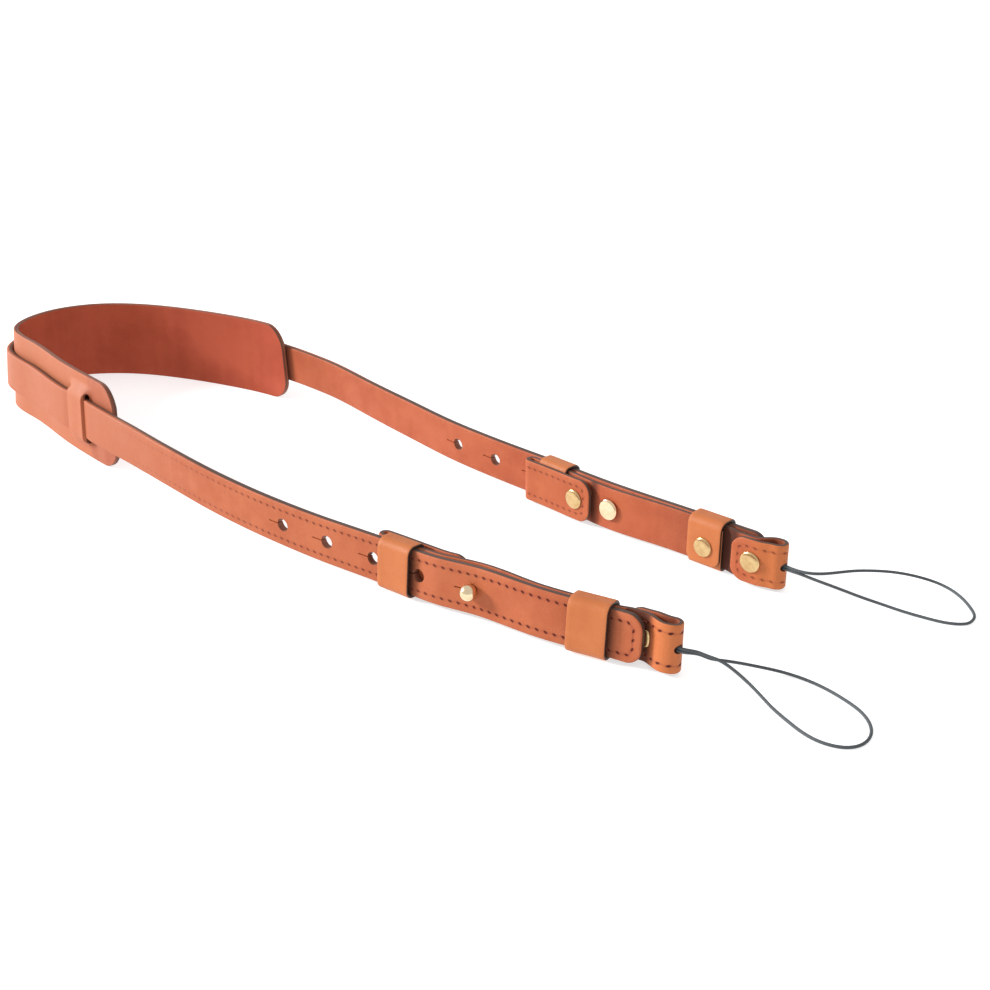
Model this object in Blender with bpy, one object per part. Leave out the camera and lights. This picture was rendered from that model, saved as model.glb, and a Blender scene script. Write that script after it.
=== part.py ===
# Leather camera strap standing on its edge in a long U, with a shoulder pad at the closed end
# and two adjustable ends, each with a cord loop. Metres, +Z up.
# The arms run along +X, the near arm lies at -Y and the far arm at +Y.

import math

import bmesh
import bpy
import numpy as np

# Layout of the whole strap, seen from above
PLAN_LENGTH = 0.366          # along X, between the strap's outer turn and the ends of its arms
PLAN_WIDTH = 0.104           # across Y, between the two arms at their widest
ORIGIN_SHIFT = (0.0019, 0.0004, 0.0)  # brings the origin below the middle of the whole strap
STRAP_LENGTH = 0.7491        # the strap's own length, end to end
STRAP_SHIFT = 0.0009         # the strap's middle, from the course's middle towards the far arm
PAD_SPAN = 0.2571            # the pad's length, measured along the strap's inner face
PAD_SHIFT = -0.0030          # the pad's middle, from the course's middle towards the far arm
PAD_LEAN_DEG = 10.0          # the pad's top leans in by this angle

# Leather
STRAP_WIDTH = 0.016
STRAP_THICKNESS = 0.0026
STRAP_END_RADIUS = 0.005
CONNECTOR_THICKNESS = 0.0017
KEEPER_THICKNESS = 0.0010
PAD_WIDTH = 0.034
PAD_END_RADIUS = 0.010
LINING_THICKNESS = 0.0009
OUTER_THICKNESS = 0.0009
EDGE_ROUNDING = 0.0005       # burnished edges
PIECE_GAP = 0.0003           # between pieces that lie on each other
PAD_GAP = 0.00015            # between the pad's two leathers

# Slits and bridges of the pad's outer leather
SLIT_FROM_END = 0.0190       # the pad's end to the middle of the first slit
BRIDGE_LENGTH = 0.0145       # between the middles of the two slits
SLIT_OPENING = 0.0022        # how far the strap spreads a slit
STRAP_DIP = 0.0010           # the strap sinks this far under a bridge
DIP_RUN = 0.010              # length over which the strap sinks
SLIT_CLEARANCE = 0.0022      # from the strap's edge to a slit's end

# Holes of the arms; all stations are measured from the stud, + towards the cord's end
HOLE_DIAMETER = 0.0045
HOLE_PITCH = 0.0197
HOLE_COUNT = 5
HOLE_SLIT_LENGTH = 0.0040
HOLE_SLIT_WIDTH = 0.0004
STRAP_END_STATION = 0.0607

# Connector
FLAP_FOLD_STATION = -0.0406
FLAP_RIVET_STATION = -0.0145
TAB_END_STATION = 0.0518
TAB_RIVET_STATION = 0.0592
FOLD_SWELL = 0.0065          # the cord fold's outer breadth
CORD_HOLE_DIAMETER = 0.0028
STUD_SLACK = 0.0011          # the connector stands off the strap at the stud
SLACK_RUN = 0.026            # length over which this slack fades
KEEPER_CLEARANCE = 0.0002    # from a keeper's side to where the leather beside it starts to bend
FLAP_DESCENT = 0.0125        # length over which the flap settles beside keeper 1
FLAP_SETTLE = 0.45           # share of its height over keeper 1 that it loses there
TAB_LIFT_RUN = 0.0058        # length over which the connector rises to clear the back cap
TAB_SWING_LEAD = 0.0010      # the tab starts towards the cord fold this much before the long layer

# Keepers
KEEPER_1_WIDTH = 0.0133
KEEPER_2_WIDTH = 0.0133
KEEPER_PLAY = 0.0012         # how far a keeper stands off the strap's outer face
KEEPER_SIDE_GAP = 0.0002     # between a keeper and the strap's edges
KEEPER_CORNER = 0.0012       # inner radius of a keeper's corners, on the connector's side
KEEPER_OUTER_CORNER = 0.0022 # and on the strap's outer side
KEEPER_2_TIP_RADIUS = 0.0030
KEEPER_2_TIP_RISE = 0.0008   # the overlapping tip ends this far above the strap's lower edge
KEEPER_2_UNDER_DROP = 0.0015 # the hidden end stops this far below the strap's upper edge
KEEPER_RIVET_RISE = -0.0010  # the keeper's rivet, from the strap's middle line

# Metal
RIVET_DIAMETER = 0.0074
KEEPER_RIVET_DIAMETER = 0.0070
BACK_CAP_DIAMETER = 0.0056   # the tab rivet's outer cap, half hidden by the strap's end
BACK_CAP_HEIGHT = 0.0008
RIVET_HEIGHT = 0.0010
RIVET_SHANK = 0.0030
SHANK_GAP = 0.0003
STUD_BALL = 0.0056
STUD_BASE = 0.0078
STUD_GAP = 0.0003            # between the ball and the rim of the hole it rests on
STUD_BASE_HEIGHT = 0.0010
STUD_NECK = 0.0030

# Cord
CORD_DIAMETER = 0.0010
KNOT_LENGTH = 0.0024
KNOT_HEIGHT = 0.0048
KNOT_BREADTH = 0.0024

# Fineness
ROUND_SIDES = 12
SMOOTH_DEG = 32
BEND_STRAY = 0.00008         # how far a bend's chord may stray from it
STRAP_STEP = 0.0065
SHORT_STEP = 0.0008          # least step beside a rounded end
CORNER_STEPS = 4

# Colours of the materials: red, green, blue, roughness, metallic
STRAP_LEATHER = (0.66, 0.25, 0.11, 0.55, 0.0)
KEEPER_LEATHER = (0.74, 0.32, 0.13, 0.5, 0.0)
LINING_LEATHER = (0.42, 0.12, 0.06, 0.6, 0.0)
BRASS = (0.85, 0.62, 0.30, 0.25, 1.0)
CORD_GREY = (0.07, 0.08, 0.08, 0.8, 0.0)

# The strap's inner face seen from above, near arm first.
# along: share of PLAN_LENGTH, across: share of PLAN_WIDTH, rise: share of the height that the pad
# lifts the strap by, lean: share of PAD_LEAN_DEG
PLAN = (
    ("near end", 0.5176, -0.2861, 0.00, 0.28),
    ("near cord fold", 0.4780, -0.3384, 0.00, 0.36),
    ("near keeper 2, outer side", 0.4430, -0.3594, 0.00, 0.46),
    ("near keeper 2, inner side", 0.4040, -0.3859, 0.00, 0.58),
    ("near stud, after", 0.3660, -0.4067, 0.00, 0.70),
    ("near stud", 0.3060, -0.4218, 0.00, 0.70),
    ("near stud, before", 0.2650, -0.4496, 0.00, 0.59),
    ("near keeper 1", 0.2350, -0.4534, 0.00, 0.45),
    ("near hole 1", 0.1500, -0.4802, 0.10, 0.31),
    ("near arm, low", 0.0720, -0.5054, 0.31, 0.08),
    ("near arm, middle", -0.0070, -0.5153, 0.59, -0.02),
    ("near arm, high", -0.0850, -0.5023, 0.85, -0.13),
    ("near pad, before", -0.1610, -0.4781, 1.00, 0.03),
    ("near bridge", -0.2400, -0.4427, 1.00, 0.36),
    ("near pad", -0.3190, -0.3973, 1.00, 0.39),
    ("near turn", -0.3970, -0.3378, 1.00, 0.49),
    ("turn, near side", -0.4660, -0.2711, 1.00, 0.64),
    ("turn", -0.4950, 0.0237, 1.00, 0.61),
    ("turn, far side", -0.4570, 0.2356, 1.00, 0.25),
    ("far turn", -0.3850, 0.3720, 1.00, 0.11),
    ("far pad", -0.3100, 0.4481, 1.00, 0.15),
    ("far bridge", -0.2330, 0.4820, 1.00, 0.25),
    ("far pad end", -0.2110, 0.4787, 1.00, 0.34),
    ("far pad, before", -0.1540, 0.4837, 0.83, 0.41),
    ("far arm, high", -0.0760, 0.4473, 0.63, 0.37),
    ("far arm, middle", 0.0000, 0.4143, 0.40, 0.22),
    ("far arm, low", 0.0790, 0.3822, 0.19, 0.15),
    ("far keeper 1", 0.1900, 0.3667, 0.00, 0.07),
    ("far stud", 0.2850, 0.3337, 0.00, -0.05),
    ("far keeper 2", 0.3920, 0.3235, 0.00, 0.00),
    ("far cord fold", 0.4780, 0.3161, 0.00, 0.00),
    ("far end", 0.5160, 0.3248, 0.00, 0.00),
)

# The cords' routes outside their holes, points in metres, out and back
CORD_ROUTES = {
    "near": (
        (0.1859, -0.0319, 0.00950), (0.1888, -0.0311, 0.00900), (0.1923, -0.0302, 0.00800),
        (0.1958, -0.0293, 0.00640), (0.1998, -0.0292, 0.00460), (0.2054, -0.0303, 0.00260),
        (0.2117, -0.0327, 0.00115), (0.2179, -0.0350, 0.00055), (0.2235, -0.0372, 0.00055),
        (0.2284, -0.0381, 0.00055), (0.2327, -0.0376, 0.00055), (0.2363, -0.0358, 0.00055),
        (0.2385, -0.0327, 0.00055), (0.2390, -0.0289, 0.00055), (0.2380, -0.0249, 0.00055),
        (0.2355, -0.0211, 0.00055), (0.2311, -0.0175, 0.00055), (0.2253, -0.0150, 0.00055),
        (0.2173, -0.0129, 0.00055), (0.2099, -0.0125, 0.00065), (0.2034, -0.0143, 0.00130),
        (0.1981, -0.0180, 0.00260), (0.1944, -0.0224, 0.00440), (0.1910, -0.0272, 0.00620),
        (0.1886, -0.0297, 0.00720), (0.1861, -0.0320, 0.00820),
    ),
    "far": (
        (0.1844, 0.0316, 0.00960), (0.1871, 0.0324, 0.00960), (0.1896, 0.0342, 0.00950),
        (0.1920, 0.0373, 0.00925), (0.1945, 0.0415, 0.00890), (0.1970, 0.0464, 0.00820),
        (0.1999, 0.0509, 0.00740), (0.2037, 0.0562, 0.00620), (0.2070, 0.0604, 0.00490),
        (0.2106, 0.0644, 0.00330), (0.2146, 0.0670, 0.00200), (0.2193, 0.0676, 0.00110),
        (0.2240, 0.0660, 0.00055), (0.2282, 0.0626, 0.00055), (0.2315, 0.0591, 0.00055),
        (0.2338, 0.0555, 0.00055), (0.2343, 0.0527, 0.00055), (0.2339, 0.0501, 0.00055),
        (0.2320, 0.0479, 0.00055), (0.2291, 0.0463, 0.00055), (0.2255, 0.0453, 0.00055),
        (0.2211, 0.0446, 0.00060), (0.2154, 0.0432, 0.00110), (0.2090, 0.0416, 0.00200),
        (0.2030, 0.0389, 0.00360), (0.1967, 0.0363, 0.00540), (0.1913, 0.0339, 0.00700),
        (0.1876, 0.0328, 0.00780), (0.1844, 0.0319, 0.00850),
    ),
}
CORD_START = 0.0013          # from the fold's middle to the cord's ends
CORD_LEAD = 0.0036           # from the fold's middle to just outside the hole
CORD_SPREAD = 0.00060        # how far each strand lies above or below the hole's middle
CORD_STEP = 0.0030

# Each arm's side, where its soft and movable pieces lie, measured from its stud, and how far its
# cord hole is turned from the fold's end, in degrees, - towards the strap's outer side
ARMS = {
    "near": {"side": -1, "flap end": -0.0050, "keeper 1": -0.0292, "keeper 2": 0.0424,
             "fold end": 0.0712, "hole turn": -30.0},
    "far": {"side": 1, "flap end": -0.0073, "keeper 1": -0.0275, "keeper 2": 0.0406,
            "fold end": 0.0700, "hole turn": 12.0},
}

# Levels are measured inward from the strap's inner face; a negative level lies outside it
OUTER_FACE = -STRAP_THICKNESS
CONNECTOR_LEVEL = PIECE_GAP + CONNECTOR_THICKNESS / 2
CONNECTOR_FACE = PIECE_GAP + CONNECTOR_THICKNESS
KEEPER_OUTER_WALL = OUTER_FACE - KEEPER_PLAY
KEEPER_INNER_WALL = CONNECTOR_FACE + PIECE_GAP
PAD_OUTER_LEVEL = PIECE_GAP + STRAP_DIP * 0.2 + OUTER_THICKNESS / 2
LINING_LEVEL = PAD_OUTER_LEVEL + (OUTER_THICKNESS + LINING_THICKNESS) / 2 + PAD_GAP
PAD_INNER_FACE = LINING_LEVEL + LINING_THICKNESS / 2
ARM_HEIGHT = KEEPER_THICKNESS + KEEPER_SIDE_GAP + STRAP_WIDTH / 2
PLY = CONNECTOR_THICKNESS + PIECE_GAP
TAB_LIFT = BACK_CAP_HEIGHT + PIECE_GAP
STUD_STATION = STRAP_LENGTH / 2 - STRAP_END_STATION
SWING_START = TAB_RIVET_STATION + BACK_CAP_DIAMETER / 2  # the connector swings outward beyond it


def natural_spline(knots, values):
    """Second derivatives of the natural cubic spline through values at knots."""
    count = len(knots)
    steps = np.diff(knots)
    matrix = np.eye(count)
    right = np.zeros((count, values.shape[1]))
    for i in range(1, count - 1):
        matrix[i, i - 1] = steps[i - 1]
        matrix[i, i] = 2 * (steps[i - 1] + steps[i])
        matrix[i, i + 1] = steps[i]
        rise = (values[i + 1] - values[i]) / steps[i]
        before = (values[i] - values[i - 1]) / steps[i - 1]
        right[i] = 6 * (rise - before)
    return np.linalg.solve(matrix, right)


def spline_points(points, samples):
    """Dense points on a smooth curve through points, the points' places along it and theirs."""
    points = np.asarray(points, dtype=float)
    knots = np.concatenate(([0.0], np.cumsum(np.linalg.norm(np.diff(points, axis=0), axis=1))))
    bend = natural_spline(knots, points)
    where = np.linspace(0.0, knots[-1], samples)
    cell = np.clip(np.searchsorted(knots, where, side="right") - 1, 0, len(knots) - 2)
    step = (knots[cell + 1] - knots[cell])[:, None]
    low = (knots[cell + 1] - where)[:, None]
    high = (where - knots[cell])[:, None]
    curve = (bend[cell] * low ** 3 + bend[cell + 1] * high ** 3) / (6 * step)
    curve += (points[cell] / step - bend[cell] * step / 6) * low
    curve += (points[cell + 1] / step - bend[cell + 1] * step / 6) * high
    return curve, knots, where


def even_curve(knots, values, where):
    """A curve through values at knots that never swings beyond them."""
    steps = np.diff(knots)
    slopes = np.diff(values) / steps
    bends = np.zeros(len(knots))
    bends[0], bends[-1] = slopes[0], slopes[-1]
    for i in range(1, len(knots) - 1):
        if slopes[i - 1] * slopes[i] > 0:
            first, second = 2 * steps[i] + steps[i - 1], steps[i] + 2 * steps[i - 1]
            bends[i] = (first + second) / (first / slopes[i - 1] + second / slopes[i])
    cell = np.clip(np.searchsorted(knots, where, side="right") - 1, 0, len(knots) - 2)
    step, share = steps[cell], (where - knots[cell]) / steps[cell]
    back = 1 - share
    curve = (1 + 2 * share) * back ** 2 * values[cell] + share ** 2 * (3 - 2 * share) * values[cell + 1]
    return curve + step * share * back * (back * bends[cell] - share * bends[cell + 1])


def smooth_step(share):
    share = np.clip(share, 0.0, 1.0)
    return share * share * (3 - 2 * share)


class Course:
    """The strap's course: turns a station along it, a level inward of the strap's inner face
    and a height across its width into a point."""

    def __init__(self):
        rows = [row[1:] for row in PLAN]
        outline = [(along * PLAN_LENGTH, across * PLAN_WIDTH) for along, across, _, _ in rows]
        self.points, knots, where = spline_points(np.array(outline) + ORIGIN_SHIFT[:2], 4000)
        lengths = np.linalg.norm(np.diff(self.points, axis=0), axis=1)
        self.stations = np.concatenate(([0.0], np.cumsum(lengths)))
        self.middle = self.stations[-1] / 2
        table = np.array(rows)
        self.rise = even_curve(knots, table[:, 2], where)
        self.lean = np.radians(PAD_LEAN_DEG) * even_curve(knots, table[:, 3], where)
        self.tangents = np.gradient(self.points, self.stations, axis=0)

    def frame(self, station):
        """Point, tangent and inward normal in plan, height of the middle line, and lean."""
        where = station + self.middle
        point = np.array([np.interp(where, self.stations, self.points[:, k]) for k in (0, 1)])
        tangent = np.array([np.interp(where, self.stations, self.tangents[:, k]) for k in (0, 1)])
        tangent /= np.linalg.norm(tangent)
        beyond = where - np.clip(where, 0.0, self.stations[-1])
        point = point + tangent * beyond
        lean = np.interp(where, self.stations, self.lean)
        rise = np.interp(where, self.stations, self.rise)
        pad_height = PAD_WIDTH / 2 * math.cos(lean) + PAD_INNER_FACE * math.sin(lean)
        low_edge = KEEPER_INNER_WALL - KEEPER_CORNER
        if lean < 0:
            low_edge = -KEEPER_OUTER_WALL - KEEPER_OUTER_CORNER
        arm_height = ARM_HEIGHT + low_edge * abs(math.sin(lean))
        height = arm_height + (pad_height - arm_height) * rise
        inward = np.array([tangent[1], -tangent[0]])
        return point, tangent, inward, height, lean

    def place(self, station, level, across):
        point, _, inward, height, lean = self.frame(station)
        sideways = level * math.cos(lean) + across * math.sin(lean)
        up = across * math.cos(lean) - level * math.sin(lean)
        x, y = point + inward * sideways
        return (float(x), float(y), float(height + up))

    def axes(self, station):
        """Along, inward and up directions of the strap at a station."""
        _, tangent, inward, _, lean = self.frame(station)
        along = (tangent[0], tangent[1], 0.0)
        level = (inward[0] * math.cos(lean), inward[1] * math.cos(lean), -math.sin(lean))
        up = (inward[0] * math.sin(lean), inward[1] * math.sin(lean), math.cos(lean))
        return np.array(along), np.array(level), np.array(up)


COURSE = Course()


# Shapes

def material(name, look):
    red, green, blue, roughness, metallic = look
    made = bpy.data.materials.new(name)
    made.use_nodes = True
    shader = made.node_tree.nodes["Principled BSDF"]
    shader.inputs["Base Color"].default_value = (red, green, blue, 1.0)
    shader.inputs["Roughness"].default_value = roughness
    shader.inputs["Metallic"].default_value = metallic
    made.diffuse_color = (red, green, blue, 1.0)
    return made


def add_piece(name, points, faces, look):
    mesh = bpy.data.meshes.new(name)
    mesh.from_pydata([tuple(float(c) for c in point) for point in points], [], faces)
    body = bmesh.new()
    body.from_mesh(mesh)
    bmesh.ops.recalc_face_normals(body, faces=body.faces)
    body.to_mesh(mesh)
    body.free()
    mesh.materials.append(material(name + "_look", look))
    mesh.shade_smooth()
    mesh.set_sharp_from_angle(angle=math.radians(SMOOTH_DEG))
    piece = bpy.data.objects.new(name, mesh)
    bpy.context.scene.collection.objects.link(piece)
    return piece


def joined(parts):
    """One list of points and faces out of several."""
    points, faces = [], []
    for part_points, part_faces in parts:
        start = len(points)
        points += list(part_points)
        faces += [tuple(start + corner for corner in face) for face in part_faces]
    return points, faces


def cut(piece, name, parts):
    """Takes the given shapes out of a piece."""
    points, faces = joined(parts)
    cutter = add_piece(name, points, faces, CORD_GREY)
    cutter.hide_render = True
    cutter.display_type = "WIRE"
    boolean = piece.modifiers.new("holes", "BOOLEAN")
    boolean.operation = "DIFFERENCE"
    boolean.solver = "EXACT"
    boolean.object = cutter


def skin(rings, closed=False):
    """Points and faces of a skin over equal rings, with flat ends unless it closes on itself."""
    count = len(rings[0])
    points = [point for ring in rings for point in ring]
    faces = []
    for i in range(len(rings) if closed else len(rings) - 1):
        here = i * count
        there = (i + 1) % len(rings) * count
        for k in range(count):
            after = (k + 1) % count
            faces.append((here + k, here + after, there + after, there + k))
    if not closed:
        faces.append(tuple(range(count)))
        faces.append(tuple(range(len(points) - count, len(points))))
    return points, faces


def section(thickness, half, with_middle=False):
    """Corners of a strip's cross-section with burnished edges: offset in thickness, in width."""
    face = thickness / 2
    near = face - EDGE_ROUNDING
    flat = half - EDGE_ROUNDING
    middle = [0.0] if with_middle else []
    side = [(-face, across) for across in [-flat] + middle + [flat]]
    other = [(face, across) for across in [flat] + middle + [-flat]]
    return side + [(-near, half), (near, half)] + other + [(near, -half), (-near, -half)]


def rounded_half(half, radius, distance):
    """Half width of a strip at a distance from its end, whose corners are rounded."""
    if distance >= radius:
        return half
    return half - radius + math.sqrt(max(radius ** 2 - (radius - distance) ** 2, 0.0))


def corner_distances(radius):
    return [radius * (1 - math.cos(k * math.pi / 2 / CORNER_STEPS)) for k in range(CORNER_STEPS + 1)]


def picked(route, start_radius, end_radius, step):
    """Few points of a dense route that still follow its bends, and each one's distance along it."""
    route = np.asarray(route, dtype=float)
    lengths = np.concatenate(([0.0], np.cumsum(np.linalg.norm(np.diff(route, axis=0), axis=1))))
    whole = lengths[-1]
    fixed = corner_distances(start_radius) if start_radius else [0.0]
    fixed += [whole - d for d in (corner_distances(end_radius) if end_radius else [0.0])]
    low, high = start_radius + SHORT_STEP, whole - end_radius - SHORT_STEP
    wanted = []
    last = int(np.searchsorted(lengths, start_radius))
    for i in range(last + 1, len(route)):
        chord = route[i] - route[last]
        chord = chord / max(float(np.linalg.norm(chord)), 1e-9)
        away = route[last:i] - route[last]
        stray = np.abs(away[:, 0] * chord[1] - away[:, 1] * chord[0]).max()
        if stray > BEND_STRAY or lengths[i] - lengths[last] >= step:
            last = i - 1
            if low < lengths[last] < high:
                wanted.append(lengths[last])
    where = np.array(sorted(fixed + wanted))
    return np.column_stack([np.interp(where, lengths, route[:, k]) for k in (0, 1)]), where, whole


def strip_rings(route, thickness, halves, put, closed=False, with_middle=False):
    """Rings round a strip whose middle line is a flat route; put turns a point of the route's
    plane and a distance across the strip into a point in space."""
    count = len(route)
    rings = []
    for i in range(count):
        before = route[i] - route[i - 1] if closed or i > 0 else route[1] - route[0]
        after = route[(i + 1) % count] - route[i] if closed or i < count - 1 else before
        before, after = before / np.linalg.norm(before), after / np.linalg.norm(after)
        along = (before + after) / np.linalg.norm(before + after)
        normal = np.array([-along[1], along[0]])
        stretch = 1 / float(np.dot(along, before))
        rings.append([put(route[i] + normal * (offset * stretch), across)
                      for offset, across in section(thickness, halves[i], with_middle)])
    return rings


def arc(centre, radius, start_deg, end_deg, count=24):
    angles = np.radians(np.linspace(start_deg, end_deg, count))
    return [(centre[0] + radius * math.cos(a), centre[1] + radius * math.sin(a)) for a in angles]


def turned(profile, centre, axis, first, second, sides=ROUND_SIDES):
    """A turned body: profile lists radius and height along the axis, from pole to pole; first
    and second are the two directions across it, which also carry its size."""
    points, faces, rows = [], [], []
    for radius, height in profile:
        if radius == 0.0:
            rows.append([len(points)])
            points.append(centre + axis * height)
            continue
        rows.append(list(range(len(points), len(points) + sides)))
        for k in range(sides):
            angle = 2 * math.pi * (k + 0.5) / sides
            reach = first * math.cos(angle) + second * math.sin(angle)
            points.append(centre + axis * height + reach * radius)
    for low, high in zip(rows, rows[1:]):
        for k in range(sides):
            after = (k + 1) % sides
            if len(low) == 1:
                faces.append((low[0], high[k], high[after]))
            elif len(high) == 1:
                faces.append((low[k], low[after], high[0]))
            else:
                faces.append((low[k], low[after], high[after], high[k]))
    return points, faces


def on_arm(side, x, profile, across=0.0, sides=ROUND_SIDES):
    """A turned body whose axis points inward through an arm; heights are levels."""
    along, level, up = COURSE.axes(side * (STUD_STATION + x))
    centre = np.array(COURSE.place(side * (STUD_STATION + x), 0.0, across))
    return turned(profile, centre, level, along, up, sides)


def drill(side, x, diameter, low, high, across=0.0):
    radius = diameter / 2
    return on_arm(side, x, [(0.0, low), (radius, low), (radius, high), (0.0, high)], across)


def cap_profile(diameter, base, height):
    """A domed cap from its base towards its top; a negative height points outward."""
    radius = diameter / 2
    shares = ((1.0, 0.0), (1.0, 0.3), (0.86, 0.72), (0.5, 0.94))
    return [(radius * r, base + height * h) for r, h in shares] + [(0.0, base + height)]


def stations_between(start, end, fixed=()):
    """Stations on the grid that all long strips share, plus fixed ones."""
    whole = [k * STRAP_STEP for k in range(math.ceil(start / STRAP_STEP), int(end // STRAP_STEP) + 1)]
    clear = [s for s in whole if all(abs(s - f) > STRAP_STEP * 0.3 for f in fixed)]
    return sorted(clear + list(fixed))


# Pad

PAD_START = PAD_SHIFT - PAD_SPAN / 2
PAD_STOP = PAD_SHIFT + PAD_SPAN / 2
SLITS = (
    PAD_START + SLIT_FROM_END,
    PAD_START + SLIT_FROM_END + BRIDGE_LENGTH,
    PAD_STOP - SLIT_FROM_END - BRIDGE_LENGTH,
    PAD_STOP - SLIT_FROM_END,
)


def strap_dip(station):
    """How far inward of its plain course the strap lies, under the bridges of the pad."""
    dip = 0.0
    for first, second in (SLITS[:2], SLITS[2:]):
        into = smooth_step((station - first) / DIP_RUN + 0.5)
        out = smooth_step((station - second) / DIP_RUN + 0.5)
        dip += STRAP_DIP * (into - out)
    return float(dip)


def add_lining():
    ends = [PAD_START + d for d in corner_distances(PAD_END_RADIUS)]
    ends += [PAD_STOP - d for d in corner_distances(PAD_END_RADIUS)]
    inside = stations_between(PAD_START + PAD_END_RADIUS, PAD_STOP - PAD_END_RADIUS)
    rings = []
    for s in sorted(ends + inside[1:-1]):
        half = rounded_half(PAD_WIDTH / 2, PAD_END_RADIUS, min(s - PAD_START, PAD_STOP - s))
        rings.append([COURSE.place(s, LINING_LEVEL + offset, across)
                      for offset, across in section(LINING_THICKNESS, half)])
    points, faces = skin(rings)
    add_piece("pad_lining", points, faces, LINING_LEATHER)


# How a bridge falls from the strap to the pad.
# beyond: share of the way from the strap's edge to the slit's end, lift: share of the full height
BRIDGE_FALL = (
    (0.09, 0.99),
    (0.45, 0.755),
    (0.57, 0.23),
    (1.00, 0.00),
)


def bridge_columns():
    """Columns of the pad's outer leather, edge to edge: share of its half width, and lift."""
    half = PAD_WIDTH / 2
    fall = [((STRAP_WIDTH / 2 + SLIT_CLEARANCE * beyond) / half, lift) for beyond, lift in BRIDGE_FALL]
    fall.append((1.0, 0.0))
    return [(-share, lift) for share, lift in reversed(fall)] + [(0.0, 1.0)] + fall


def add_pad_outer():
    edges = [s + shift for s in SLITS for shift in (-SLIT_OPENING / 2, SLIT_OPENING / 2)]
    inner = []
    for first, second in (SLITS[:2], SLITS[2:]):
        inner += [first + BRIDGE_LENGTH * share for share in (0.19, 0.32, 0.5, 0.68, 0.81)]
    ends = [PAD_START + d for d in corner_distances(PAD_END_RADIUS)]
    ends += [PAD_STOP - d for d in corner_distances(PAD_END_RADIUS)]
    rows = stations_between(PAD_START, PAD_STOP, edges + inner + ends)
    rows = [s for s in rows if s in ends or PAD_START + PAD_END_RADIUS < s < PAD_STOP - PAD_END_RADIUS]
    columns = bridge_columns()
    slit_end = (STRAP_WIDTH / 2 + SLIT_CLEARANCE) / (PAD_WIDTH / 2)
    points, faces = [], []
    for s in rows:
        half = rounded_half(PAD_WIDTH / 2, PAD_END_RADIUS, min(s - PAD_START, PAD_STOP - s))
        on_bridge = any(a < s < b for a, b in (SLITS[:2], SLITS[2:]))
        top = strap_dip(s) + OUTER_FACE - PIECE_GAP - OUTER_THICKNESS / 2
        for share, lift in columns:
            rise = lift if on_bridge else 0.0
            level = PAD_OUTER_LEVEL + (top - PAD_OUTER_LEVEL) * rise
            points.append(COURSE.place(s, level, share * half))
    count = len(columns)
    for i in range(len(rows) - 1):
        middle = (rows[i] + rows[i + 1]) / 2
        in_slit = any(abs(middle - s) < SLIT_OPENING / 2 for s in SLITS)
        for k in range(count - 1):
            inside = abs(columns[k][0] + columns[k + 1][0]) / 2 < slit_end
            if in_slit and inside:
                continue
            corner = i * count + k
            faces.append((corner, corner + 1, corner + count + 1, corner + count))
    piece = add_piece("pad_outer", points, faces, STRAP_LEATHER)
    solid = piece.modifiers.new("thickness", "SOLIDIFY")
    solid.thickness = OUTER_THICKNESS
    solid.offset = 0.0
    solid.use_even_offset = True
    used = {corner for face in faces for corner in face}
    if len(used) < len(points):
        body = bmesh.new()
        body.from_mesh(piece.data)
        loose = [v for v in body.verts if not v.link_faces]
        bmesh.ops.delete(body, geom=loose, context="VERTS")
        body.to_mesh(piece.data)
        body.free()


# Main strap

def keyhole(side, x):
    """A hole with a slit towards the pad, through the strap."""
    station = side * (STUD_STATION + x)
    radius = HOLE_DIAMETER / 2
    half = HOLE_SLIT_WIDTH / 2
    outline = [(-radius - HOLE_SLIT_LENGTH, half), (-radius - HOLE_SLIT_LENGTH, -half)]
    start = math.pi - math.asin(half / radius)
    outline += [(radius * math.cos(a), -radius * math.sin(a))
                for a in np.linspace(start, -start, ROUND_SIDES)]
    rings = []
    for level in (OUTER_FACE - EDGE_ROUNDING, EDGE_ROUNDING):
        rings.append([COURSE.place(station + side * along, level, across) for along, across in outline])
    return skin(rings)


def add_main_strap():
    half_length = STRAP_LENGTH / 2
    start, stop = STRAP_SHIFT - half_length, STRAP_SHIFT + half_length
    ends = []
    for d in corner_distances(STRAP_END_RADIUS):
        ends += [start + d, stop - d]
    dips = [s + DIP_RUN * share for s in SLITS for share in (-0.5, -0.2, 0.2, 0.5)]
    inside = stations_between(start + STRAP_END_RADIUS, stop - STRAP_END_RADIUS, dips)
    rings = []
    for s in sorted(ends + inside[1:-1]):
        half = rounded_half(STRAP_WIDTH / 2, STRAP_END_RADIUS, min(s - start, stop - s))
        level = strap_dip(s) - STRAP_THICKNESS / 2
        rings.append([COURSE.place(s, level + offset, across)
                      for offset, across in section(STRAP_THICKNESS, half)])
    points, faces = skin(rings)
    piece = add_piece("main_strap", points, faces, STRAP_LEATHER)
    holes = [keyhole(arm["side"], -k * HOLE_PITCH) for arm in ARMS.values() for k in range(HOLE_COUNT)]
    cut(piece, "main_strap_cutter", holes)


# Connector

def slack(x):
    return STUD_SLACK * float(smooth_step(1 - abs(x) / SLACK_RUN))


FOLD_RADIUS = (FOLD_SWELL - CONNECTOR_THICKNESS) / 2
FOLD_LEVEL = OUTER_FACE + CONNECTOR_THICKNESS / 2 + FOLD_RADIUS
FLAP_RADIUS = (PLY + KEEPER_THICKNESS + PIECE_GAP) / 2
FLAP_X = FLAP_FOLD_STATION + CONNECTOR_THICKNESS / 2 + FLAP_RADIUS


def fold_x(arm):
    """Station of the cord fold's middle."""
    return arm["fold end"] - CONNECTOR_THICKNESS / 2 - FOLD_RADIUS


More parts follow.
